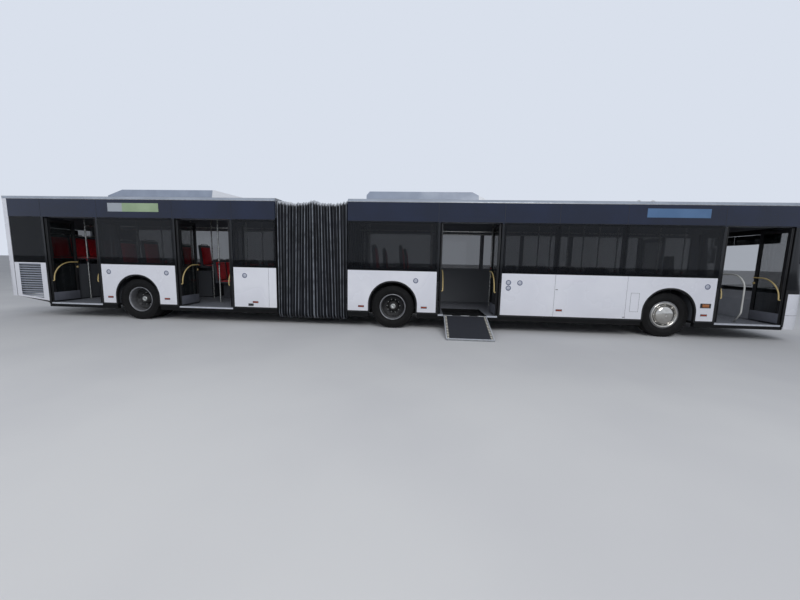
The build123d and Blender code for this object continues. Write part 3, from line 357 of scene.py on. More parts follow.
# Painted cast iron: dark and dull, dusty near the road.
cast_axle = finish(
    "cast_iron_painted", "#1b1c1e", "#242425", (0.55, 0.75), 90, 0.6, 5, dust=(0.9, "#443f38", 0.4)
)
# Oiled cast iron: grey with dark, half-wet patches.
engine_iron = finish("cast_iron_oiled", "#35363a", "#292a2c", (0.4, 0.65), 70, 0.8, 6)
# Carbon-black rubber: dull, greyed by road dust.
tyre_rubber = finish(
    "carbon_black_rubber", "#0a0a0b", "#0f0f10", (0.70, 0.85), 120, 0.5, 7,
    dust=(0.9, "#2c2925", 0.20), Specular_IOR_Level=0.25,
)
# EPDM rubber: near black, with hardly any shine.
trim_rubber = finish("epdm_rubber", "#121214", "#1a1a1c", (0.55, 0.7), 60, 0.2, 4)
# Silver lacquer on steel: a soft metal sheen under road dust.
wheel_lacquer = finish(
    "silver_lacquered_steel", "#9b9ca0", "#84858a", (0.32, 0.46), 80, 0.2, 5,
    dust=(0.9, "#4d4944", 0.35), Metallic=0.55,
)
# Grey lacquered steel, dusty: the dished faces of the outer twin rims, and painted shade in the recess ring
# of the front trims.
dark_wheel = finish(
    "grey_lacquered_steel_dusty", "#36373a", "#2b2c2e", (0.45, 0.62), 60, 0.3, 4,
    dust=(0.9, "#3f3b36", 0.5), Metallic=0.3,
)
# Polished stainless steel: a clean mirror.
mirror_steel = finish("stainless_steel_polished", "#cdcac4", "#c1beb8", (0.06, 0.1), 70, Metallic=1.0)
# Brushed stainless steel: a broad, pale highlight.
brushed_steel = finish("stainless_steel_brushed", "#c9cac6", "#b4b5b2", (0.24, 0.34), 30, Metallic=0.9)
# Powder-coated tube in cream.
cream_coat = finish("powder_coat_cream", "#c8b37c", "#bba670", (0.34, 0.44), 120, 0.12, 3)
# Powder coat in black: even, half dull.
black_coat = finish("powder_coat_black", "#17181b", "#1e1f22", (0.35, 0.48), 140, 0.12, 3)
# Anodised aluminium: pale metal with a silky surface.
anodised = finish("anodised_aluminium", "#b6b8bb", "#a5a7aa", (0.3, 0.42), 50, 0.05, 2, Metallic=0.85)
# Phenolic board with quartz grit, as on ramps and steps.
grit_board = finish("phenolic_board_gritted", "#1d1f26", "#292b33", (0.75, 0.9), 12, 1.0, 5)
# Grained plastics: dull mouldings with a fine leather grain.
cab_moulding = finish("abs_grained_grey", "#a4a8b1", "#adb1ba", (0.5, 0.62), 200, 0.25, 3, zones=cab_zones)
dark_moulding = finish("abs_grained_dark", "#2b2d31", "#34363a", (0.5, 0.62), 200, 0.25, 3)
black_moulding = finish("polyamide_grained_black", "#151619", "#1d1e21", (0.45, 0.6), 150, 0.25, 3)
seat_plastic = finish("polypropylene_grained_grey", "#4a4c52", "#55575d", (0.45, 0.6), 120, 0.25, 3)
# Powder coat in greys: smooth kick plates and rails.
plate_coat = finish("powder_coat_grey_blue", "#686b75", "#5d606a", (0.3, 0.4), 260, 0.1, 3)
pale_coat = finish("powder_coat_pale_grey", "#c6c7c4", "#babbb8", (0.34, 0.44), 120, 0.12, 3)
sill_alloy = finish("anodised_aluminium_pale", "#ccd0d8", "#bfc4cd", (0.3, 0.42), 60, 0.05, 2, Metallic=0.2)
# Lamps: mirror bowls behind clear or coloured lenses with a fine pattern.
chrome_bowl = finish("aluminised_reflector", "#d8dadd", "#cccfd3", (0.05, 0.1), 20, Metallic=1.0)
lamp_clear = finish("polycarbonate_white_lens", "#c9cdd2", "#bfc3c9", (0.12, 0.2), 15, 0.3, 6)
clear_lens = finish("polycarbonate_clear", "#dfe3e6", "#cfd4d8", (0.04, 0.07), 60, Alpha=0.45, IOR=1.8)
red_lens = finish(
    "pmma_red", "#8e1216", "#a3181b", (0.08, 0.14), 25, 0.6, 12, zones=lamp_zones, Coat_Weight=0.5
)
amber_lens = finish("pmma_amber", "#a8662e", "#925424", (0.12, 0.2), 15, 0.4, 6, Coat_Weight=0.4)
red_marker = finish("pmma_dark_red", "#8a2e20", "#a5492f", (0.2, 0.3), 12, 0.4, 6)
button_red = finish("polycarbonate_red", "#b01e22", "#a3181d", (0.25, 0.35), 30)
lamp_diffuser = finish("acrylic_diffuser_white", "#d9dbdd", "#d0d3d6", (0.3, 0.4), 200)
# Smoked polycarbonate: flat blank windows that shine a little, coloured with painted reflections, green-white
# on the rear display and sky blue on the front one.
display_green_reflection = finish(
    "polycarbonate_smoked_green", "#97ad8a", "#8ba17e", (0.12, 0.2), 400, zones=display_reflection_zones, Coat_Weight=0.3
)
display_sky_reflection = finish("polycarbonate_smoked_blue", "#4b6f99", "#446891", (0.12, 0.2), 400, Coat_Weight=0.3)
blank_display = finish("polycarbonate_smoked_black", "#0a0b0c", "#0f1011", (0.15, 0.22), 300)
# Silvered glass: the sharpest mirror on the bus.
mirror_glass = finish("silvered_glass", "#c3c8cc", "#b9bec2", (0.01, 0.03), 200, Metallic=1.0)
# Blank vinyl film: round labels, slightly glossy.
label_film = finish("vinyl_film_blank", "#c3c7d2", "#b6bac8", (0.3, 0.4), 30)
label_ring = finish("vinyl_film_grey_blue", "#616b86", "#565f7a", (0.3, 0.4), 20)
# Road-marking paint: rough and pale, worn in small patches.
marking_paint = finish("road_marking_paint_pale", "#dedbd2", "#c4c1b8", (0.6, 0.75), 14, 0.5, 4)


def weave(name, colour, other, thread_mm, rough, sheen):
    """Woven cloth: two sets of threads as waves, drawn coarse enough to show."""
    made = finish(name, colour, other, (rough, rough + 0.08), 90, Sheen_Weight=sheen, Sheen_Roughness=0.4)
    tree = made.node_tree
    place = add(tree, "ShaderNodeTexCoord").outputs["Object"]
    threads = []
    for direction in ("X", "Z"):
        settings = {"wave_type": "BANDS", "bands_direction": direction}
        wave = add(tree, "ShaderNodeTexWave", settings, Vector=place, Scale=1000 / thread_mm / 6.283)
        threads.append(wave.outputs["Fac"])
    height = Value(tree, threads[0]).maths("ADD", threads[1])
    relief = add(tree, "ShaderNodeBump", Height=height, Distance=thread_mm / 4000)
    tree.links.new(relief.outputs[0], shader_of(made).inputs["Normal"])
    return made


# Wool moquette: a short red pile that catches light at its edges. Threads of 2 mm are drawn at 8 mm.
moquette = weave("wool_moquette_red", "#d8182b", "#e22c3c", 8, 0.8, 0.4)


def bellows_material():
    """Fabric coated with dark rubber; the crests are paler in patches, a painted highlight that also stands
    for rubbing, and the top is painted pale as light falling on it.
    """
    made = finish(
        "hypalon_coated_fabric", "#181a20", "#121418", (0.5, 0.65), 500, 0.5, 9, Specular_IOR_Level=0.3
    )
    tree = made.node_tree
    colour = shader_of(made).inputs["Base Color"]
    crest, lid = (
        add(tree, "ShaderNodeAttribute", {"attribute_name": name}).outputs["Fac"] for name in ("crest", "lid")
    )
    # Crests paler in patches: a painted highlight that also stands for rubbing.
    crest_wear_and_highlight = ramp_between(tree, crest, 0.55, 1.0) * ramp_between(tree, grain(tree, 160), 0.25, 0.6, 0.35, 1.0)
    shade = mixed(tree, crest_wear_and_highlight, colour.links[0].from_socket, "#858a93")
    # Painted light: the top is pale where it faces the sky.
    tree.links.new(mixed(tree, lid, shade, "#c6cad1"), colour)
    return made


bellows_cloth = bellows_material()

# The first word found in a node's name gives its finish
node_finish = (
    ("underframe", chassis_steel), ("side_walls", black_lacquer), ("skirts", white_lacquer),
    ("mask", end_lacquer), ("roof_unit", unit_fibre), ("roof", roof_lacquer), ("glazing", tinted_glass),
    ("seats", seat_plastic), ("handrails", brushed_steel), ("driver_cab", cab_moulding),
    ("mirrors", black_moulding), ("headlamps", clear_lens), ("tail_lamps", red_lens), ("axle", cast_axle),
    ("knuckle", cast_axle), ("engine", engine_iron), ("bellows", bellows_cloth), ("ramp", anodised),
    ("tyre", tyre_rubber), ("rim", wheel_lacquer), ("door", black_coat),
)
for name, node in nodes.items():
    made = next(made for word, made in node_finish if word in name)
    for entry in node.material_slots:
        entry.material = made


# Meshes
class Shape:
    """A mesh in the making, in metres from the rear end, the middle line and the ground."""

    def __init__(self):
        self.mesh = bmesh.new()
        self.finishes = []

    def use(self, made):
        if made not in self.finishes:
            self.finishes.append(made)
        return self.finishes.index(made)

    def surface(self, points, faces, made, smooth=False):
        corners = [self.mesh.verts.new(point) for point in points]
        for face in faces:
            new = self.mesh.faces.new([corners[index] for index in face])
            new.material_index = self.use(made)
            new.smooth = smooth

    def box(self, low, high, made, edge=0.0):
        """Box with rounded edges."""
        part = bmesh.new()
        bmesh.ops.create_cube(part, size=1.0)
        size = [b - a for a, b in zip(low, high)]
        middle = Vector([(a + b) / 2 for a, b in zip(low, high)])
        bmesh.ops.scale(part, vec=size, verts=part.verts)
        if edge:
            reach = min(edge, min(size) * 0.45)
            bmesh.ops.bevel(part, geom=part.edges, offset=reach, segments=2, affect="EDGES", profile=0.5)
        bmesh.ops.transform(part, matrix=Matrix.Translation(middle), verts=part.verts)
        points = [vertex.co.copy() for vertex in part.verts]
        part.verts.index_update()
        faces = [[vertex.index for vertex in face.verts] for face in part.faces]
        part.free()
        self.surface(points, faces, made, bool(edge))
    def tube(self, path, radius, made, sides=12, closed=False):
        """Round tube along points, with flat ends."""
        points = [Vector(point) for point in path]
        rings = []
        side = None
        for index, point in enumerate(points):
            before = points[index - 1] if index or closed else point
            after = points[(index + 1) % len(points)] if index < len(points) - 1 or closed else point
            ahead = (after - before).normalized()
            if side is None:
                side = ahead.orthogonal().normalized()
            side = (side - ahead * side.dot(ahead)).normalized()
            other = ahead.cross(side)
            for step in range(sides):
                angle = 2 * math.pi * step / sides
                rings.append(point + radius * (math.cos(angle) * side + math.sin(angle) * other))
        faces = []
        for ring in range(len(points) if closed else len(points) - 1):
            a, b = ring * sides, (ring + 1) % len(points) * sides
            faces += [[a + i, a + (i + 1) % sides, b + (i + 1) % sides, b + i] for i in range(sides)]
        if not closed:
            faces += [list(range(sides - 1, -1, -1)), list(range(len(rings) - sides, len(rings)))]
        self.surface(rings, faces, made, True)

    def lathe(self, profile, centre, side, made, steps=64, closed=True):
        """Ring turned about an axle: profile is (radius, reach outwards), side is -1 on the right."""
        points = []
        for radius, reach in profile:
            for step in range(steps):
                angle = 2 * math.pi * step / steps
                x = centre[0] + radius * math.cos(angle)
                points.append((x, centre[1] + side * reach, centre[2] + radius * math.sin(angle)))
        count = len(profile)
        faces = []
        for row in range(count if closed else count - 1):
            a, b = row * steps, (row + 1) % count * steps
            faces += [[a + i, a + (i + 1) % steps, b + (i + 1) % steps, b + i] for i in range(steps)]
        if not closed:
            faces += [list(range(steps)), list(range((count - 1) * steps, count * steps))]
        self.surface(points, faces, made, True)

    def piece(self, name, body, slot, *replaced):
        """Finish the mesh as a piece that rides on a body."""
        bmesh.ops.remove_doubles(self.mesh, verts=self.mesh.verts, dist=0.00002)
        bmesh.ops.recalc_face_normals(self.mesh, faces=self.mesh.faces)
        for vertex in self.mesh.verts:
            vertex.co = library(vertex.co)
        data = bpy.data.meshes.new(name)
        self.mesh.to_mesh(data)
        self.mesh.free()
        for made in self.finishes:
            data.materials.append(made)
        return settle(name, data, body, slot, *replaced)


def linked(name, data):
    """New object in the scene."""
    made = bpy.data.objects.new(name, data)
    bpy.context.scene.collection.objects.link(made)
    return made


def evaluated(holder):
    """Plain mesh of an object with its modifiers worked in."""
    bpy.context.view_layer.update()
    graph = bpy.context.evaluated_depsgraph_get()
    return bpy.data.meshes.new_from_object(holder.evaluated_get(graph))


def settle(name, data, body, slot, *replaced):
    """Put a finished mesh into the scene as a piece, on its body."""
    piece = linked(name, data)
    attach(piece, body)
    if replaced:
        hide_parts(*replaced)
    return piece


def rounded(points, radii, steps=8):
    """Path through points with its inner corners rounded."""
    points = [Vector(point) for point in points]
    path = [points[0]]
    for before, corner, after, radius in zip(points, points[1:], points[2:], radii):
        arm_a = (before - corner).normalized()
        arm_b = (after - corner).normalized()
        half_angle = arm_a.angle(arm_b) / 2
        reach = radius / math.tan(half_angle)
        start, end = corner + arm_a * reach, corner + arm_b * reach
        centre = corner + (arm_a + arm_b).normalized() * radius / math.sin(half_angle)
        for step in range(steps + 1):
            part = start.lerp(end, step / steps) - centre
            path.append(centre + part.normalized() * radius)
    path.append(points[-1])
    return path


# Geometry Nodes: one shape copied to points, in a row or round a ring
def copies_tree(name, layout):
    """Tree with named sizes that copies a shape to points and makes the copies real."""
    tree = bpy.data.node_groups.new(name, "GeometryNodeTree")
    face = tree.interface
    inputs = {"Geometry": "Geometry", "Shape": "Object", "Finish": "Material", "Count": "Int",
              "Spacing": "Vector", "Radius": "Float"}
    for label, kind in inputs.items():
        face.new_socket(label, in_out="INPUT", socket_type=f"NodeSocket{kind}")
    face.new_socket("Geometry", in_out="OUTPUT", socket_type="NodeSocketGeometry")
    given = add(tree, "NodeGroupInput").outputs
    turn = None
    if layout == "row":
        sizes = {"Count": given["Count"], "Offset": given["Spacing"]}
        points = add(tree, "GeometryNodeMeshLine", {"mode": "OFFSET"}, **sizes).outputs[0]
    elif layout == "ring":
        sizes = {"Vertices": given["Count"], "Radius": given["Radius"]}
        points = add(tree, "GeometryNodeMeshCircle", **sizes).outputs[0]
        index = Value(tree, add(tree, "GeometryNodeInputIndex").outputs[0])
        angle = index.maths("DIVIDE", given["Count"]) * (2 * math.pi)
        turn = add(tree, "ShaderNodeCombineXYZ", Z=angle).outputs[0]
    else:
        points = given["Geometry"]
    shape = add(tree, "GeometryNodeObjectInfo", Object=given["Shape"]).outputs["Geometry"]
    copied = add(tree, "GeometryNodeInstanceOnPoints", Points=points, Instance=shape)
    if turn:
        tree.links.new(turn, copied.inputs["Rotation"])
    real = add(tree, "GeometryNodeRealizeInstances", Geometry=copied.outputs[0])
    coated = add(tree, "GeometryNodeSetMaterial", Geometry=real.outputs[0], Material=given["Finish"])
    add(tree, "NodeGroupOutput", Geometry=coated.outputs[0])
    return tree


trees = {layout: copies_tree(f"copies_in_{layout}", layout) for layout in ("row", "ring", "points")}


def copies(name, layout, template, made, points=(), count=1, spacing=(0, 0, 0), radius=0.0):
    """Copy a template by one of the trees and return the plain mesh."""
    data = bpy.data.meshes.new(name)
    data.from_pydata([tuple(point) for point in points], [], [])
    holder = linked(name, data)
    modifier = holder.modifiers.new("copies", "NODES")
    modifier.node_group = trees[layout]
    values = {"Shape": template, "Finish": made, "Count": count, "Spacing": Vector(spacing), "Radius": radius}
    for item in trees[layout].interface.items_tree:
        if item.in_out == "INPUT" and item.name in values:
            modifier[item.identifier] = values[item.name]
    result = evaluated(holder)
    bpy.data.objects.remove(holder)
    return result


def template(build):
    """Hidden object that holds one shape to copy, at its own origin."""
    shape = Shape()
    build(shape)
    bmesh.ops.recalc_face_normals(shape.mesh, faces=shape.mesh.faces)
    data = bpy.data.meshes.new("template")
    shape.mesh.to_mesh(data)
    shape.mesh.free()
    return bpy.data.objects.new("template", data)


def placed(mesh, name, matrix, body, slot, *replaced):
    """Piece from a mesh, moved into place by a matrix in the bus's own measures."""
    mesh.transform(Matrix.Translation(library((0, 0, 0))) @ matrix)
    mesh.update()
    return settle(name, mesh, body, slot, *replaced)


def side_mark(shape, x0, x1, z0, z1, made, proud=0.0015, side=-1, edge=0.0):
    """Flat thing on the outside of one flank."""
    y0, y1 = sorted((side * (HALF - 0.001), side * (HALF + proud)))
    shape.box((x0, y0, z0), (x1, y1, z1), made, edge)


# Wheels
def tyre_profile():
    """Closed section of a tyre: bead, bulged wall, shoulder, tread with four grooves."""
    half = [
        (0.287, 0.094), (0.300, 0.112), (0.318, 0.120), (0.330, 0.126), (0.352, 0.134), (0.378, 0.1375),
        (0.398, 0.1365), (0.402, 0.1335), (0.424, 0.131), (0.448, 0.126), (0.466, 0.117), (0.4735, 0.104),
        (0.4765, 0.086), (0.4765, 0.070), (0.466, 0.067), (0.466, 0.059), (0.478, 0.056), (0.4785, 0.030),
        (0.468, 0.027), (0.468, 0.019), (0.479, 0.016),
    ]
    return half + [(radius, -reach) for radius, reach in reversed(half)]


lug = template(lambda one: one.box((0.462, -0.0205, 0.092), (0.4775, 0.0205, 0.119), tyre_rubber, 0.002))
nut_profile = ((0.0165, 0.0), (0.0165, 0.012), (0.012, 0.016), (0.012, 0.034), (0.008, 0.038))
wheel_nut = template(lambda one: one.lathe(nut_profile, (0, 0, 0), 1, brushed_steel, 12, False))


def upright(centre, side):
    """Matrix that lays a ring, drawn about Z, round an axle."""
    turn = Matrix.Rotation(math.radians(-90 if side > 0 else 90), 4, "X")
    return Matrix.Translation(centre) @ turn


def tyre_set(name, centres, side, body, *replaced):
    """Tyres of one wheel body with shoulder lugs."""
    shape = Shape()
    for centre in centres:
        shape.lathe(tyre_profile(), centre, side, tyre_rubber, 72)
    piece = shape.piece(name, body, "tyre", *replaced)
    for number, centre in enumerate(centres):
        for way in (1, -1):
            lugs = copies("lugs", "ring", lug, tyre_rubber, count=54)
            matrix = upright(centre, side * way)
            placed(lugs, f"{name}_lugs_{number}_{'out' if way > 0 else 'in'}", matrix, body, "tyre")
    return piece


def nuts(name, centre, side, radius, reach, body, made=brushed_steel, count=10):
    ring = copies("nuts", "ring", nut_upright, made, count=count, radius=radius)
    matrix = upright((centre[0], centre[1] + side * reach, centre[2]), side)
    return placed(ring, name, matrix, body, "rim_steel")


# The nut stands along Z here, so that a ring about Z can carry it.
nut_mesh = wheel_nut.data.copy()
nut_mesh.transform(Matrix.Rotation(math.radians(90), 4, "X"))
nut_upright = bpy.data.objects.new("nut", nut_mesh)


# Black rubber discs in place of the hand holes of the outer twin rims: painted shade where one would see
# through them.
hand_hole_shade_disc = template(
    lambda one: one.tube([(0.0027, 0, -0.003), (-0.0010, 0, 0.0012)], 0.019, trim_rubber, 16)
)


def front_wheel(name, side):
    """Tyre, rim and polished trim of a steered wheel."""
    centre = (AXLES["front"], side * STEERED_WHEEL, TYRE_RADIUS)
    body = f"wheel_front_{name}"
    tyre_set(f"tyre_piece_front_{name}", [centre], side, body, f"tyre_front_{name}")
    shape = Shape()
    rim = [
        (0.2855, -0.098), (0.2855, 0.098), (0.292, 0.101), (0.292, 0.106), (0.276, 0.106), (0.268, 0.092),
        (0.262, 0.070), (0.262, -0.080), (0.274, -0.098),
    ]
    disc = [
        (0.264, 0.050), (0.250, 0.062), (0.190, 0.078), (0.120, 0.084), (0.120, 0.070), (0.180, 0.066),
        (0.250, 0.040),
    ]
    hub = [(0.118, 0.060), (0.118, 0.120), (0.060, 0.120), (0.060, 0.060)]
    for profile, steps in ((rim, 72), (disc, 72), (hub, 48)):
        shape.lathe(profile, centre, side, wheel_lacquer, steps)
    shape.piece(f"rim_piece_front_{name}", body, "rim_steel", f"rim_front_{name}")
    trim = Shape()
    cover = [
        (0.270, 0.104), (0.277, 0.109), (0.274, 0.116), (0.264, 0.121), (0.250, 0.121), (0.240, 0.115),
        (0.232, 0.098), (0.226, 0.090), (0.206, 0.087), (0.200, 0.092), (0.195, 0.108), (0.188, 0.124),
        (0.172, 0.139), (0.146, 0.151), (0.110, 0.160), (0.070, 0.166), (0.030, 0.1690), (0.001, 0.1694),
        (0.001, 0.163), (0.070, 0.160), (0.140, 0.146), (0.184, 0.118), (0.196, 0.086), (0.232, 0.086),
        (0.262, 0.104),
    ]
    # Dark ring of painted shade in the recess of the polished trim.
    recess_shade_ring = [(0.2245, 0.0905), (0.2245, 0.0915), (0.2080, 0.0885), (0.2080, 0.0875)]
    trim.lathe(cover, centre, side, mirror_steel, 96)
    trim.lathe(recess_shade_ring, centre, side, dark_wheel, 96)
    trim.piece(f"wheel_trim_{name}", body, "rim_steel")
    nuts(f"trim_screws_{name}", centre, side, 0.2150, 0.078, body, mirror_steel, 8)


def twin_wheel(axle, name, side):
    """Twin tyres with dished rims, nuts and hub."""
    outer, inner = ((AXLES[axle], side * reach, TYRE_RADIUS) for reach in (OUTER_TWIN, INNER_TWIN))
    body = f"wheels_{axle}_{name}"
    tyre_set(f"tyre_pieces_{axle}_{name}", [outer, inner], side, body, f"tyres_{axle}_{name}")
    shape = Shape()
    bed = [
        (0.2855, -0.098), (0.2855, 0.098), (0.292, 0.101), (0.292, 0.106), (0.277, 0.106), (0.270, 0.092),
        (0.264, 0.060), (0.262, -0.080), (0.274, -0.098),
    ]
    dish = [
        (0.264, -0.060), (0.256, -0.078), (0.200, -0.128), (0.178, -0.136), (0.110, -0.136), (0.110, -0.148),
        (0.182, -0.148), (0.210, -0.138), (0.264, -0.090),
    ]
    hub = [
        (0.116, -0.160), (0.116, -0.060), (0.110, -0.050), (0.092, -0.046), (0.088, -0.020), (0.080, -0.014),
        (0.046, -0.012), (0.046, -0.160),
    ]
    cap = [(0.060, -0.016), (0.060, -0.006), (0.050, 0.0), (0.001, 0.002), (0.001, -0.016)]
    shape.lathe(bed, outer, side, wheel_lacquer, 72)
    shape.lathe(bed, inner, -side, wheel_lacquer, 72)
    shape.lathe(dish, outer, side, dark_wheel, 72)
    shape.lathe([(radius, -reach) for radius, reach in dish], inner, side, wheel_lacquer, 72)
    shape.lathe(hub, outer, side, cast_axle, 48)
    shape.lathe(cap, outer, side, brushed_steel, 32)
    shape.piece(f"rim_pieces_{axle}_{name}", body, "rim_steel", f"rims_{axle}_{name}")
    nuts(f"wheel_nuts_{axle}_{name}", outer, side, 0.1475, -0.137, body)
    holes = copies("holes", "ring", hand_hole_shade_disc, trim_rubber, count=8, radius=0.228)
    ring_place = upright((outer[0], outer[1] - side * 0.103, outer[2]), side)
    placed(holes, f"hand_holes_{axle}_{name}", ring_place, body, "rim_steel")


for side_name, side_way in (("left", 1), ("right", -1)):
    front_wheel(side_name, side_way)
    twin_wheel("middle", side_name, side_way)
    twin_wheel("rear", side_name, side_way)


# Bellows
def bellows():
    """Pleated tunnel of coated fabric, open along the bottom, sagging a little between its three frames."""
    low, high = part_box("bellows")
    start, end = low.x - rear_face, high.x - rear_face
    pleats, per_pleat = 24, 8
    bottom, top, slot, corner, inset = 0.135, 2.815, 0.950, 0.150, 0.014
    reach = HALF - inset
    outline = []

    def run(a, b, count):
        for i in range(count):
            outline.append((a[0] + (b[0] - a[0]) * i / count, a[1] + (b[1] - a[1]) * i / count))

    def bend(y, z, first, count=5):
        for i in range(count):
            angle = math.radians(first + 90 * i / count)
            outline.append((y + corner * math.cos(angle), z + corner * math.sin(angle)))

    arm, foot, head = reach - corner, bottom + corner, top - corner
    run((slot, bottom), (arm, bottom), 3)
    bend(arm, foot, -90)
    run((reach, foot), (reach, head), 14)
    bend(arm, head, 0)
    run((arm, top), (0.0, top), 8)
    outline += [(0.0, top), *((-y, z) for y, z in reversed(outline))]
    columns = pleats * per_pleat + 1
    depth = 0.056
    points, crests, lids = [], [], []
    bunch = [0.024 * math.sin(1.9 * pleat) + 0.014 * math.sin(4.3 * pleat + 1) for pleat in range(pleats + 1)]
    for column in range(columns):
        share = column / (columns - 1)
        phase = column / per_pleat
        pleat = int(phase)
        wave = 0.5 - 0.5 * math.cos(2 * math.pi * phase)
        frame = pleat == pleats // 2
        wave = min(1.0, 1.8 * wave) if frame else wave
        crest = wave ** 1.15
        lean = bunch[pleat] * (1 - wave) + bunch[min(pleat + 1, pleats)] * wave
        lean *= min(1.0, 4 * share, 4 * (1 - share))
        sag = 0.075 * abs(math.sin(2 * math.pi * share)) ** 1.3 + 0.008 * math.sin(5.1 * pleat)
        low_crest = 0.0 if frame else 0.016 * (0.5 + 0.5 * math.sin(2.7 * pleat + 0.6))
        for y, z in outline:
            up = max(0.0, (z - 1.9) / 0.9)
            cy = max(-arm, min(arm, y))
            cz = max(foot, min(head, z))
            away = Vector((0, y - cy, z - cz))
            away = away.normalized() if away.length > 1e-6 else Vector((0, 1 if y > 0 else -1, 0))
            out = depth * (1 - crest) + 0.004 + low_crest * crest
            out += 0.004 * abs(math.sin(3.0 * z + 1.7 * pleat))
            shift = lean * (0.30 + 0.70 * math.sin(1.3 * z + 0.9 * pleat))
            shift -= 0.034 * math.sin(2 * math.pi * share) * (1 - z / 1.5)
            drop = max(0.0, sag) * up * (1 - 0.35 * (abs(y) / reach))
            x = start + 0.004 + (end - start - 0.008) * share + shift
            lift = (0.030 + 0.022 * math.sin(3.7 * pleat)) * (1 - wave) if z < bottom + 0.03 else 0.0
            points.append((x, y - away.y * out, max(bottom + 0.002, z - away.z * out - drop) + lift))
            # Crest shares carry the painted highlight, top shares the painted light on the top.
            crests.append(crest * (0.86 if frame else 0.84 + 0.12 * math.sin(2.1 * pleat + 0.8 * z)))
            lids.append(min(1.0, max(0.0, (z - top + 0.075) / 0.05)))
    rows = len(outline)
    faces = []
    for column in range(columns - 1):
        for row in range(rows - 1):
            a = column * rows + row
            faces.append([a, a + 1, a + rows + 1, a + rows])
    data = bpy.data.meshes.new("bellows_piece")
    data.from_pydata([tuple(library(point)) for point in points], [], faces)
    for label, values in (("crest", crests), ("lid", lids)):
        data.attributes.new(label, "FLOAT", "POINT").data.foreach_set("value", values)
    data.materials.append(bellows_cloth)
    data.polygons.foreach_set("use_smooth", [True] * len(data.polygons))
    data.update()
    piece = linked("bellows_piece", data)
    wall = piece.modifiers.new("wall", "SOLIDIFY")
    wall.thickness = 0.003
    wall.offset = -1
    solid = evaluated(piece)
    piece.modifiers.clear()
    piece.data = solid
    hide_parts("bellows")
    library((start, 0, 1.4))
    library((end, 0, 1.4))
    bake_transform(piece)


bellows()


# Doors
LEAF_GAP, LEAF_THICK, LEAF_INSET, LEAF_LENGTH = 0.018, 0.040, 0.006, 0.632
LEAF_LOW, LEAF_HIGH = 0.374, 2.326


def door_leaf(number, place):
    """Open leaf: rounded frame with rubber edges, pane and bent grab rail."""
    way = 1 if place == "rear" else -1
    jamb = DOOR_CENTRES[number] - way * DOOR_WIDTH / 2
    name = f"door_{number}_{place}_leaf"
    x0, x1 = sorted((jamb + way * LEAF_GAP, jamb + way * (LEAF_GAP + LEAF_THICK)))
    y0 = -HALF + LEAF_INSET
    y1 = y0 + LEAF_LENGTH
    shape = Shape()
    stile, lip, sill = 0.058, 0.014, 0.130
    middle = (x0 + x1) / 2
    for a, b, low, high in (
        (y0 + lip, y0 + stile, LEAF_LOW, LEAF_HIGH), (y1 - stile, y1 - lip, LEAF_LOW, LEAF_HIGH),
        (y0 + stile, y1 - stile, LEAF_LOW, LEAF_LOW + sill),
        (y0 + stile, y1 - stile, LEAF_HIGH - stile, LEAF_HIGH),
    ):
        shape.box((x0 + 0.002, a, low), (x1 - 0.002, b, high), black_coat, 0.006)
    plate = ((x0 + 0.0012, y0 + 0.022, LEAF_LOW + 0.012), (x1 - 0.0012, y1 - 0.022, LEAF_LOW + 0.215))
    shape.box(*plate, plate_coat, 0.002)
    for y in (y0 + lip / 2, y1 - lip / 2):
        edge = [(middle, y, LEAF_LOW + 0.002), (middle, y, LEAF_HIGH - 0.002)]
        shape.tube(edge, lip / 2 + 0.0005, trim_rubber, 10)
    shape.piece(f"{name}_frame", name, "door_alloy", name)
    pane = Shape()
    low = (y0 + stile - 0.004, LEAF_LOW + sill - 0.004)
    high = (y1 - stile + 0.004, LEAF_HIGH - stile + 0.004)
    pane.box((middle - 0.003, *low), (middle + 0.003, *high), door_glass)
    pane.piece(f"{name}_pane", name, "tinted_glass")
    border = Shape()
    for face in (x0 + 0.004, x1 - 0.010):
        for a, b, c, d in (
            (low[0], low[0] + 0.030, low[1], high[1]), (high[0] - 0.030, high[0], low[1], high[1]),
            (low[0], high[0], low[1], low[1] + 0.030), (low[0], high[0], high[1] - 0.030, high[1]),
        ):
            border.box((face, a, c), (face + 0.006, b, d), trim_rubber, 0.002)
    border.piece(f"{name}_gasket", name, "black_plastic")
    rail = Shape()
    face = LEAF_GAP + LEAF_THICK - 0.002
    off = LEAF_GAP + LEAF_THICK + 0.036
    inner_v, outer_v = LEAF_INSET + LEAF_LENGTH - 0.029, LEAF_INSET + 0.029
    rail_top, rail_foot, catch = 1.31, 0.87, 1.19

    def spot(u, v, z):
        return (jamb + way * u, -HALF + v, z)

    bends = [spot(face, inner_v, rail_top), spot(off, inner_v, rail_top), spot(off, outer_v, rail_top),
             spot(off, outer_v, rail_foot), spot(face, outer_v, rail_foot)]
    rail.tube(rounded(bends, (0.024, 0.410, 0.024), 12), 0.012, cream_coat, 14)
    for v, z, end, radius, made, sides in (
        (inner_v, rail_top, 0.006, 0.024, black_moulding, 16),
        (outer_v, rail_foot, 0.006, 0.024, black_moulding, 16),
        (inner_v, catch, 0.010, 0.026, cream_coat, 20),
    ):
        rail.tube([spot(face - 0.002, v, z), spot(face + end, v, z)], radius, made, sides)
    rail.piece(f"{name}_rail", name, "rail_steel")


for door_number in DOOR_CENTRES:
    for leaf_place in ("rear", "front"):
        door_leaf(door_number, leaf_place)


# Outside of the flanks
SECTION = {"rear": (0.345, 6.750), "front": (8.380, 17.512)}


def section_of(x):
    return "rear_section" if x < PIVOT else "front_section"


rings = (
    (2.724, 1.115), (4.141, 1.118), (6.010, 1.105), (9.895, 1.084), (11.891, 1.096), (11.894, 0.977),
    (12.132, 1.094), (15.941, 1.109),
)
markers = (
    (2.727, 0.525), (4.128, 0.518), (6.250, 0.505), (8.686, 0.486), (10.088, 0.496), (12.986, 0.527),
    (15.933, 0.513),
)
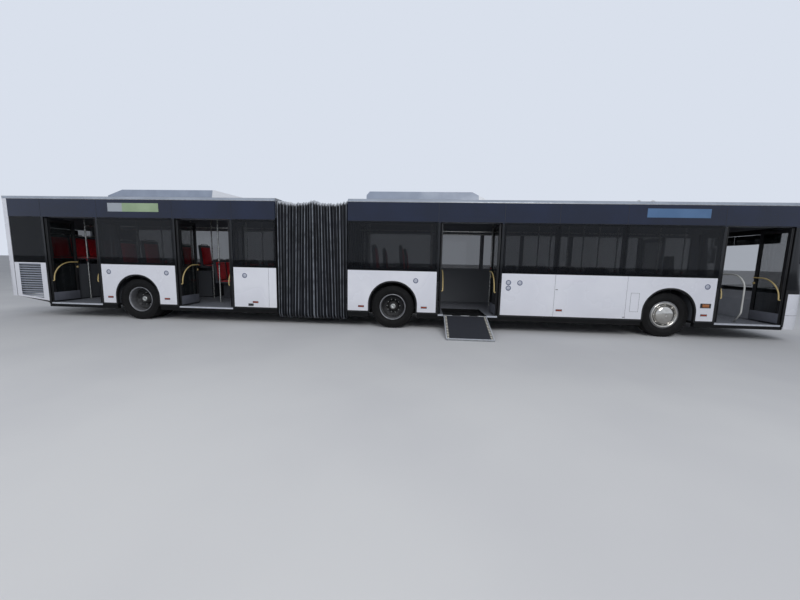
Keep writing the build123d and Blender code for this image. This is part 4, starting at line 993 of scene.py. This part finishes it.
# Upright seams of the band over the windows, the same on both flanks
band_seams = (1.155, 2.545, 4.360, 5.750, 10.353, 11.743, 12.870, 14.230, 16.120)
# Small things on the door side: ends along the bus, heights, finish, how far they stand out
door_side = (
    (14.440, 14.610, 0.938, 0.942, trim_rubber, 0.0008), (14.440, 14.610, 0.543, 0.547, trim_rubber, 0.0008),
    (14.438, 14.442, 0.543, 0.942, trim_rubber, 0.0008), (14.608, 14.612, 0.543, 0.942, trim_rubber, 0.0008),
    (12.885, 12.935, 0.964, 0.976, trim_rubber, 0.002), (14.305, 14.355, 0.414, 0.426, trim_rubber, 0.002),
    (6.080, 6.200, 0.415, 0.470, black_moulding, 0.008), (15.842, 16.052, 0.664, 0.760, trim_rubber, 0.006),
    (15.880, 16.014, 0.680, 0.744, amber_lens, 0.012),
)


def flank_details(section):
    """Blank round labels, side markers, seams, the door side's small things and the roof gutter."""
    x0, x1 = SECTION[section]
    shape = Shape()
    seam = (WINDOW_TOP + 0.004, ROOF_SEAM - 0.008)
    gutter = (ROOF_SEAM - 0.006, ROOF_SEAM + 0.010, 0.006, anodised)
    rubber_line = (WINDOW_TOP - 0.003, WINDOW_TOP + 0.003, 0.002, trim_rubber)
    label_parts = ((0.056, 0.039, 0.0018, label_ring), (0.039, 0.001, 0.0014, label_film))
    for side in (-1, 1):
        for x, z in rings:
            if x0 < x < x1 and side < 0:
                for outer, inner, proud, made in label_parts:
                    profile = [(outer, 0.0), (outer, proud), (inner, proud), (inner, 0.0)]
                    shape.lathe(profile, (x, side * (HALF - 0.001), z), side, made, 32)
        for x, z in markers:
            if x0 < x < x1:
                for a, b, made, proud, edge in (
                    (0.066, 0.021, black_moulding, 0.006, 0.003), (0.058, 0.013, red_marker, 0.011, 0.004)
                ):
                    side_mark(shape, x - a, x + a, z - b, z + b, made, proud, side, edge)
        for x in band_seams:
            if x0 < x < x1:
                side_mark(shape, x - 0.003, x + 0.003, *seam, trim_rubber, 0.0008, side)
        for a, b, z0, z1, made, proud in door_side if side < 0 else ():
            if x0 < a < x1:
                side_mark(shape, a, b, z0, z1, made, proud, side, 0.003 if proud > 0.005 else 0.0)
        for low, high, depth, made in (gutter, rubber_line):
            y0, y1 = sorted((side * (HALF - 0.004), side * (HALF + depth)))
            shape.box((x0, y0, low), (x1, y1, high), made, 0.002)
    shape.piece(f"flank_details_{section}", f"{section}_section", "black_plastic")


flank_details("rear")
flank_details("front")


def sill_strips():
    """Bright strips along the edge of the floor at each door."""
    for number, centre in DOOR_CENTRES.items():
        shape = Shape()
        x0, x1 = centre - DOOR_WIDTH / 2 + 0.004, centre + DOOR_WIDTH / 2 - 0.004
        spans = [(x0, x1)]
        if number == 2:
            spans = [(x0, RAMP_CENTRE - RAMP_HALF), (RAMP_CENTRE + RAMP_HALF, x1)]
        for a, b in spans:
            if b - a > 0.03:
                for depth, low in ((0.016, FLOOR - 0.030), (0.052, FLOOR)):
                    shape.box((a, -HALF + 0.006, low), (b, -HALF + depth, FLOOR + 0.0035), sill_alloy, 0.001)
        shape.piece(f"sill_strip_{number}", section_of(centre), "ramp_alloy")


sill_strips()


def displays():
    """Blank display windows in the band over the side windows, coloured with painted reflections."""
    for name, x0, x1, z0, z1, made in (
        ("rear", 2.830, 4.050, 2.490, 2.680, display_green_reflection),
        ("front", 14.590, 15.820, 2.500, 2.680, display_sky_reflection),
    ):
        shape = Shape()
        side_mark(shape, x0, x1, z0, z1, made, 0.002)
        shape.piece(f"display_{name}", section_of(x0), "black_plastic")


displays()


# Ramp
def ramp_matrix():
    """From ramp measures (along the bus, outwards, up from the plate's middle) to the bus's measures."""
    hinge_y, hinge_z, half_plate, reach = -1.270, 0.335, 0.015, 0.982
    slope = math.asin(hinge_z / math.hypot(reach, half_plate)) - math.atan2(half_plate, reach)
    turn = Matrix.Rotation(slope, 4, "X")
    return Matrix.Translation((RAMP_CENTRE, hinge_y, hinge_z)) @ turn


def ramp_dressing():
    """Gritted board in a bright frame, with broken pale lines along both sides."""
    matrix = ramp_matrix()
    shape = Shape()
    shape.box((-0.395, -0.945, 0.0150), (0.395, -0.045, 0.0162), grit_board)
    shape.box((-0.465, -0.979, 0.0150), (0.465, -0.947, 0.0170), sill_alloy, 0.0008)
    for side in (-1, 1):
        a, b = sorted((side * 0.465, side * 0.446))
        shape.box((a, -0.975, 0.0150), (b, -0.030, 0.0170), sill_alloy, 0.0008)
        a, b = sorted((side * 0.445, side * 0.397))
        shape.box((a, -0.950, 0.0150), (b, -0.045, 0.0160), black_moulding)
    bmesh.ops.transform(shape.mesh, matrix=matrix, verts=shape.mesh.verts)
    shape.piece("ramp_board", "ramp", "ramp_alloy")
    dash = template(lambda one: one.box((-0.018, 0.0, 0.0160), (0.018, 0.034, 0.0166), marking_paint))
    for name, x in (("rear", -0.4210), ("front", 0.4210)):
        row = copies("dashes", "row", dash, marking_paint, count=15, spacing=(0, 0.060, 0))
        placed(row, f"ramp_dashes_{name}", matrix @ Matrix.Translation((x, -0.940, 0)), "ramp", "ramp_alloy")


ramp_dressing()


# Seats: place of the back along the bus, sides, floor
OUTER, INNER = 0.975, 0.520
OVER_WHEEL, OVER_ENGINE = 0.765, 0.920
ENDS, LEFT, ALL_FOUR = (-OUTER, OUTER), (INNER, OUTER), (-OUTER, -INNER, INNER, OUTER)
seat_places = {
    "front": (
        (8.960, ENDS, OVER_WHEEL), (9.560, ENDS, OVER_WHEEL), (12.480, ALL_FOUR, FLOOR),
        (13.230, ALL_FOUR, FLOOR), (13.980, ALL_FOUR, FLOOR),
    ),
    "rear": (
        (0.560, (-0.9, -0.45, 0.0, 0.45, 0.9), OVER_ENGINE), (1.420, LEFT, FLOOR), (2.130, LEFT, FLOOR),
        (2.960, ENDS, OVER_WHEEL), (3.540, ENDS, OVER_WHEEL), (4.280, LEFT, FLOOR), (5.030, LEFT, FLOOR),
        (5.780, LEFT, FLOOR), (6.080, (-OUTER,), FLOOR),
    ),
}


def crowned_pad(shape, corner, along, across, thick, made, crown=0.016):
    """Soft pad on a plane: crowned in the middle, edges drawn in."""
    up = along.cross(across).normalized()
    count = 7
    front, back = [], []
    for i in range(count):
        for j in range(count):
            u, v = i / (count - 1), j / (count - 1)
            edge = min(1.0, 4.2 * min(u, 1 - u)) * min(1.0, 4.2 * min(v, 1 - v))
            dome = crown * math.sin(math.pi * u) * math.sin(math.pi * v)
            point = corner + along * u + across * v
            front.append(point + up * (0.3 * thick + 0.7 * thick * edge ** 0.5 + dome))
            back.append(point)
    faces = []
    size = count * count
    for i in range(count - 1):
        for j in range(count - 1):
            a = i * count + j
            faces.append([a, a + count, a + count + 1, a + 1])
            faces.append([size + a, size + a + 1, size + a + count + 1, size + a + count])
    rim = [(0, j) for j in range(count)] + [(i, count - 1) for i in range(1, count)]
    rim += [(count - 1, j) for j in range(count - 2, -1, -1)] + [(i, 0) for i in range(count - 2, 0, -1)]
    indices = [i * count + j for i, j in rim]
    for a, b in zip(indices, indices[1:] + indices[:1]):
        faces.append([a, b, size + b, size + a])
    shape.surface(front + back, faces, made, True)


def seat_pads(shape):
    """Cushion and back pad of one seat; its back's foot is the origin."""
    width = 0.400
    across = Vector((0, width, 0))
    places = ((0.085, 0.4795), (0.0650, 0.520), (0.0130, 1.020))
    cushion, lower, upper = (Vector((x, -width / 2, z)) for x, z in places)
    crowned_pad(shape, cushion, Vector((0.320, 0, 0.0060)), across, 0.020, moquette)
    crowned_pad(shape, lower, across, upper - lower, 0.018, moquette, 0.012)


def seat_grip(shape):
    """Bent bar over the back of one seat."""
    path = [(-0.020, -0.15, 1.05), (-0.020, -0.15, 1.105), (-0.020, 0.15, 1.105), (-0.020, 0.15, 1.05)]
    shape.tube(rounded(path, (0.03, 0.03), 4), 0.011, pale_coat, 8)


pads, grip = template(seat_pads), template(seat_grip)
for section_name, rows in seat_places.items():
    spots = [(x, y, floor) for x, sides, floor in rows for y in sides]
    body, still = f"{section_name}_section", Matrix.Identity(4)
    cushions = copies("pads", "points", pads, moquette, spots)
    cushions = placed(cushions, f"seat_pads_{section_name}", still, body, "seat_shell")
    grips = copies("grips", "points", grip, pale_coat, spots)
    placed(grips, f"seat_grips_{section_name}", still, body, "rail_steel")


# Front and rear ends
def end_x(y, z, front):
    """Place along the bus of an end's outer face, at a distance from the middle and a height."""
    bulge, corner = (0.090, 0.240) if front else (0.075, 0.255)
    bow = (HALF ** 2 + bulge ** 2) / (2 * bulge)
    away, turn = abs(y), HALF - corner
    if away < turn * bow / (bow - corner):
        depth = bow - math.sqrt(bow ** 2 - away ** 2)
    else:
        reach = math.sqrt(max(0.0, corner ** 2 - (away - turn) ** 2))
        depth = bow - math.sqrt((bow - corner) ** 2 - turn ** 2) - reach
    if front:
        return 17.940 - depth - 0.10 * max(0.0, z - 1.0)
    return max(depth, 0.150 * min(1.0, max(0.0, (1.2 - z) / 0.71)))


def rubber_frame(shape, half_width, low, high, front, radius, corner=0.06):
    """Rubber profile round a pane of an end, following its bow."""
    flat = rounded([(0, 0, low), (half_width, 0, low), (half_width, 0, high), (-half_width, 0, high),
                    (-half_width, 0, low), (-0.001, 0, low)], (corner,) * 4, 5)
    path = []
    for a, b in zip(flat, flat[1:]):
        count = max(1, int((b - a).length / 0.12))
        path += [a.lerp(b, step / count) for step in range(count)]
    sunk = -0.002 if front else 0.007
    path = [(end_x(point.x, point.z, front) + sunk, point.x, point.z) for point in path]
    shape.tube(path, radius, trim_rubber, 8, True)


def round_lamp(shape, y, z, radius, made, depth, proud):
    """Round disc let into the front face, square to its bow."""
    middle = Vector((end_x(y, z, True), y, z))
    out = Vector((1, end_x(y - 0.01, z, True) / 0.02 - end_x(y + 0.01, z, True) / 0.02, 0)).normalized()
    shape.tube([middle - out * depth, middle + out * proud], radius, made, 28)


def wiper(shape, pivot, tip):
    """Arm and blade of a parked wiper."""
    def off_glass(place, reach):
        return (end_x(place.y, place.z, True) + reach, place.y, place.z)

    middle = pivot.lerp(tip, 0.55)
    foot = off_glass(pivot, -0.006)
    way = (tip - pivot).normalized()
    arm = [pivot.lerp(middle, step / 4) for step in range(5)]
    blade = [middle + way * (0.92 * (step / 8 - 0.5)) for step in range(9)]
    shape.tube([foot, (foot[0] + 0.034, pivot.y, pivot.z)], 0.016, black_moulding, 12)
    shape.tube([off_glass(place, 0.028) for place in arm], 0.007, black_moulding, 8)
    shape.tube([off_glass(place, 0.012) for place in blade], 0.007, trim_rubber, 8)
    shape.tube([off_glass(middle, 0.010), off_glass(middle, 0.030)], 0.010, black_moulding, 8)


def front_details():
    """Screen rubber, wipers, lamp insides, fog lamps and the blank display behind the glass."""
    shape = Shape()
    rubber_frame(shape, 1.118, 1.006, 2.348, True, 0.006)
    wiper(shape, Vector((0, 0.92, 1.045)), Vector((0, -0.02, 1.110)))
    wiper(shape, Vector((0, -0.10, 1.045)), Vector((0, -1.00, 1.130)))
    lamp = (
        (0.064, black_moulding, 0.0078, -0.0070), (0.064 * 0.92, chrome_bowl, 0.0074, -0.0050),
        (0.064 * 0.50, lamp_clear, 0.0060, -0.0030),
    )
    fog = ((0.062, black_moulding, 0.004, 0.004), (0.048, lamp_clear, 0.004, 0.007))
    turn = ((0.026, amber_lens, 0.0078, -0.0040),)
    lamp_height, fog_height = 0.680, 0.420
    lamps = (
        (0.820, lamp_height, lamp), (0.985, lamp_height, lamp), (1.085, lamp_height, turn),
        (0.850, fog_height, fog),
    )
    for side in (-1, 1):
        for y, z, discs in lamps:
            for disc in discs:
                round_lamp(shape, side * y, z, *disc)
    shape.piece("front_details", "front_section", "black_plastic")
    sign = Shape()
    for y0, y1 in ((-0.78, -0.26), (-0.26, 0.26), (0.26, 0.78)):
        x = min(end_x(y0, 2.20, True), end_x(y1, 2.20, True)) - 0.075
        sign.box((x - 0.030, y0, 2.060), (x, y1, 2.275), blank_display, 0.002)
    sign.piece("front_display", "front_section", "black_plastic")


def rear_details():
    """Pane rubber, round reflectors, brake lamp under the roof and the blank display behind the pane."""
    shape = Shape()
    rubber_frame(shape, 0.898, 1.482, 2.248, False, 0.006)
    x = end_x(0.990, 0.800, False)
    for y in (-0.990, 0.990):
        shape.tube([(x + 0.015, y, 0.803), (x - 0.005, y, 0.799)], 0.036, red_marker, 24)
    shape.box((0.013, -0.220, 2.640), (0.060, 0.220, 2.672), red_marker, 0.004)
    shape.box((0.075, -0.450, 2.020), (0.100, 0.450, 2.185), blank_display, 0.003)
    shape.piece("rear_details", "rear_section", "black_plastic")


def mirror_faces():
    """Silvered faces of the mirrors, a large one over a small one."""
    shape = Shape()
    for side in (-1, 1):
        middle = side * (HALF + 0.045)
        for low, high in ((1.672, 1.752), (1.764, 2.030)):
            shape.box((18.0345, middle - 0.080, low), (18.0415, middle + 0.080, high), mirror_glass, 0.003)
    shape.piece("mirror_faces", "front_section", "rim_steel")


front_details()
rear_details()
mirror_faces()


# Roof
def roof_z(y):
    return 2.865 - 0.029 * abs(y)


def roof_details(section, hatches, domes, seams):
    """Hatches, small domes and cross seams on the roof."""
    shape = Shape()
    for x in hatches:
        shape.box((x - 0.440, -0.330, 2.846), (x + 0.440, 0.330, 2.876), black_moulding, 0.004)
        shape.box((x - 0.425, -0.315, 2.872), (x + 0.425, 0.315, 2.912), lamp_diffuser, 0.016)
    for x, y in domes:
        z = roof_z(y)
        shape.tube([(x, y, z - 0.004), (x, y, z + 0.012)], 0.062, black_moulding, 24)
        for low, radius in ((0.010, 0.052), (0.034, 0.046), (0.052, 0.034), (0.064, 0.018)):
            shape.tube([(x, y, z + low), (x, y, z + low + 0.018)], radius, lamp_diffuser, 24)
    for x in seams:
        for side in (-1, 1):
            points = [(x, side * y, roof_z(y) + 0.0005) for y in (0.0, 0.6, 1.18)]
            shape.tube(points, 0.003, trim_rubber, 6)
    shape.piece(f"roof_details_{section}", f"{section}_section", "black_plastic")


roof_details("rear", (1.500, 6.300), (), (1.155, 2.430, 5.850))
front_domes = ((14.660, -0.850), (14.950, -0.850))
roof_details("front", (12.400, 15.300), front_domes, (11.743, 13.550, 14.230, 16.120))


# Inside
def inside(section, x0, x1, buttons):
    """Light strips under the ceiling and stop buttons on the poles."""
    strip_low, strip_high, pole = 2.752, 2.786, 0.400
    body = f"{section}_section"
    strips = Shape()
    for side in (-1, 1):
        y0, y1 = sorted((side * 0.700, side * 0.800))
        strips.box((x0, y0, strip_low), (x1, y1, strip_high), lamp_diffuser, 0.006)
    strips.piece(f"light_strips_{section}", body, "lamp_clear")
    shape = Shape()
    for x in buttons:
        for side in (-1, 1):
            y = side * pole
            shape.box((x - 0.024, y - 0.024, 1.300), (x + 0.024, y + 0.024, 1.410), dark_moulding, 0.008)
            shape.tube([(x, y - 0.030, 1.370), (x, y + 0.030, 1.370)], 0.016, button_red, 14)
    shape.piece(f"stop_buttons_{section}", body, "black_plastic")


inside("rear", 1.450, 6.480, (1.260, 1.960, 2.680, 4.140, 4.850, 5.600, 6.500))
inside("front", 8.650, 16.050, (8.600, 10.250, 11.850, 13.040, 13.790, 14.560, 16.050))


def cab_dressing():
    """Partition pane, instruments, blank screens, ticket desk and pedals of the driver's place."""
    shape = Shape()
    shape.box((16.176, 0.455, 1.345), (16.184, 1.140, 2.155), door_glass)
    shape.box((17.300, 0.560, 1.115), (17.420, 1.100, 1.215), black_moulding, 0.020)
    for y in (0.690, 0.830, 0.970):
        shape.tube([(17.296, y, 1.165), (17.302, y, 1.165)], 0.045, blank_display, 24)
    shape.box((17.080, 0.385, 1.000), (17.330, 0.545, 1.190), black_moulding, 0.015)
    shape.box((17.074, 0.405, 1.030), (17.080, 0.525, 1.160), blank_display)
    shape.box((16.700, 0.372, 1.250), (17.060, 0.415, 1.285), dark_moulding, 0.010)
    for y in (0.700, 0.900):
        shape.box((17.330, y - 0.040, 0.545), (17.370, y + 0.040, 0.700), trim_rubber, 0.006)
    shape.piece("cab_dressing", "front_section", "black_plastic")


cab_dressing()


def entry_rail():
    """Bent rail that parts the two ways in at the first door."""
    x = DOOR_CENTRES[1]
    shape = Shape()
    inner, outer, foot, top = -0.420, -1.105, -0.980, 1.370
    bends = [(x, inner, 0.340), (x, inner, top), (x, outer, top), (x, outer, 0.560), (x, foot, 0.340)]
    shape.tube(rounded(bends, (0.080, 0.300, 0.120), 10), 0.016, pale_coat, 14)
    for y in (inner, foot):
        shape.tube([(x, y, 0.339), (x, y, 0.350)], 0.042, pale_coat, 20)
    shape.piece("entry_rail", "front_section", "rail_steel")


entry_rail()


# Under the floor
def air_tank(shape, x0, x1, y):
    """Tank with a smaller cap at each end."""
    parts = ((x0, x0 + 0.04, 0.060, 20), (x0 + 0.02, x1 - 0.02, 0.074, 24), (x1 - 0.04, x1, 0.060, 20))
    for a, b, radius, sides in parts:
        shape.tube([(a, y, 0.245), (b, y, 0.245)], radius, cast_axle, sides)


def under_floor():
    """Drive shaft, silencer and air tanks, the silencer nearest the rear."""
    shape = Shape()
    shape.tube([(1.900, 0.0, 0.420), (3.300, 0.0, 0.450)], 0.045, cast_axle, 16)
    for x0, x1, y in ((1.650, 2.350, 0.720), (4.600, 5.300, 0.720), (4.600, 5.300, -0.720)):
        air_tank(shape, x0, x1, y)
    shape.piece("under_floor_rear", "rear_section", "black_plastic")
    shape = Shape()
    for x0, x1, y in ((11.900, 12.700, 0.720), (12.900, 13.700, 0.720), (12.900, 13.700, -0.720)):
        air_tank(shape, x0, x1, y)
    shape.piece("under_floor_front", "front_section", "black_plastic")


under_floor()


# Floor, light and camera
def stage():
    """Pale floor, even sky and three lamps."""
    reach = 260.0
    data = bpy.data.meshes.new("floor")
    corners = [(x * reach, y * reach, 0) for x, y in ((-1, -1), (1, -1), (1, 1), (-1, 1))]
    data.from_pydata(corners, [], [(0, 1, 2, 3)])
    floor = linked("floor", data)
    data.materials.append(finish("concrete_pale", "#d3d4d6", "#cdced1", (0.85, 0.95), 2500))
    world = bpy.data.worlds.new("studio")
    bpy.context.scene.world = world
    world.use_nodes = True
    tree = world.node_tree
    tree.nodes.clear()
    rays = add(tree, "ShaderNodeLightPath").outputs
    seen = Value(tree, rays["Is Camera Ray"]) | rays["Is Glossy Ray"] | rays["Is Transmission Ray"]
    lit = add(tree, "ShaderNodeBackground", Color=linear("#eef3fc"), Strength=0.36)
    shown = add(tree, "ShaderNodeBackground", Color=linear("#d9e0ec"), Strength=1.0)
    mix = add(tree, "ShaderNodeMixShader", _0=seen, _1=lit.outputs[0], _2=shown.outputs[0])
    add(tree, "ShaderNodeOutputWorld", Surface=mix.outputs[0])
    for name, place, size, power, aim in (
        ("key", (14.0, -13.0, 11.0), 9.0, 900.0, (9.0, 0.0, 1.2)),
        ("fill", (2.0, -12.0, 8.0), 9.0, 430.0, (6.0, 0.0, 1.2)),
        ("back", (9.0, 14.0, 12.0), 10.0, 900.0, (9.0, 0.0, 1.5)),
    ):
        lamp = bpy.data.lights.new(name, "AREA")
        lamp.shape, lamp.size, lamp.energy = "DISK", size, power
        holder = linked(name, lamp)
        holder.location = library(place)
        holder.rotation_euler = (library(aim) - holder.location).to_track_quat("-Z", "Y").to_euler()
        holder.visible_glossy = name == "key"


stage()


def camera():
    """Camera at the photograph's place: turned a little to the rear, tilted down, wide angle."""
    focal_pixels, photo_width, sensor = 320, 800, 36.0
    eye = library((10.015, -8.304, 1.498))
    yaw, pitch, roll = (math.radians(value) for value in (-3.712, 6.868, 1.234))
    ahead = Vector((math.sin(yaw) * math.cos(pitch), math.cos(yaw) * math.cos(pitch), -math.sin(pitch)))
    level = Vector((math.cos(yaw), -math.sin(yaw), 0))
    upward = level.cross(ahead)
    right = math.cos(roll) * level + math.sin(roll) * upward
    up = -math.sin(roll) * level + math.cos(roll) * upward
    data = bpy.data.cameras.new("camera")
    data.sensor_fit = "HORIZONTAL"
    data.sensor_width = sensor
    data.lens = sensor * focal_pixels / photo_width
    holder = linked("camera", data)
    turned = Matrix((right, up, -ahead)).transposed().to_4x4()
    holder.matrix_world = Matrix.Translation(eye) @ turned
    bpy.context.scene.camera = holder


camera()
bpy.context.scene.view_settings.view_transform = "Standard"
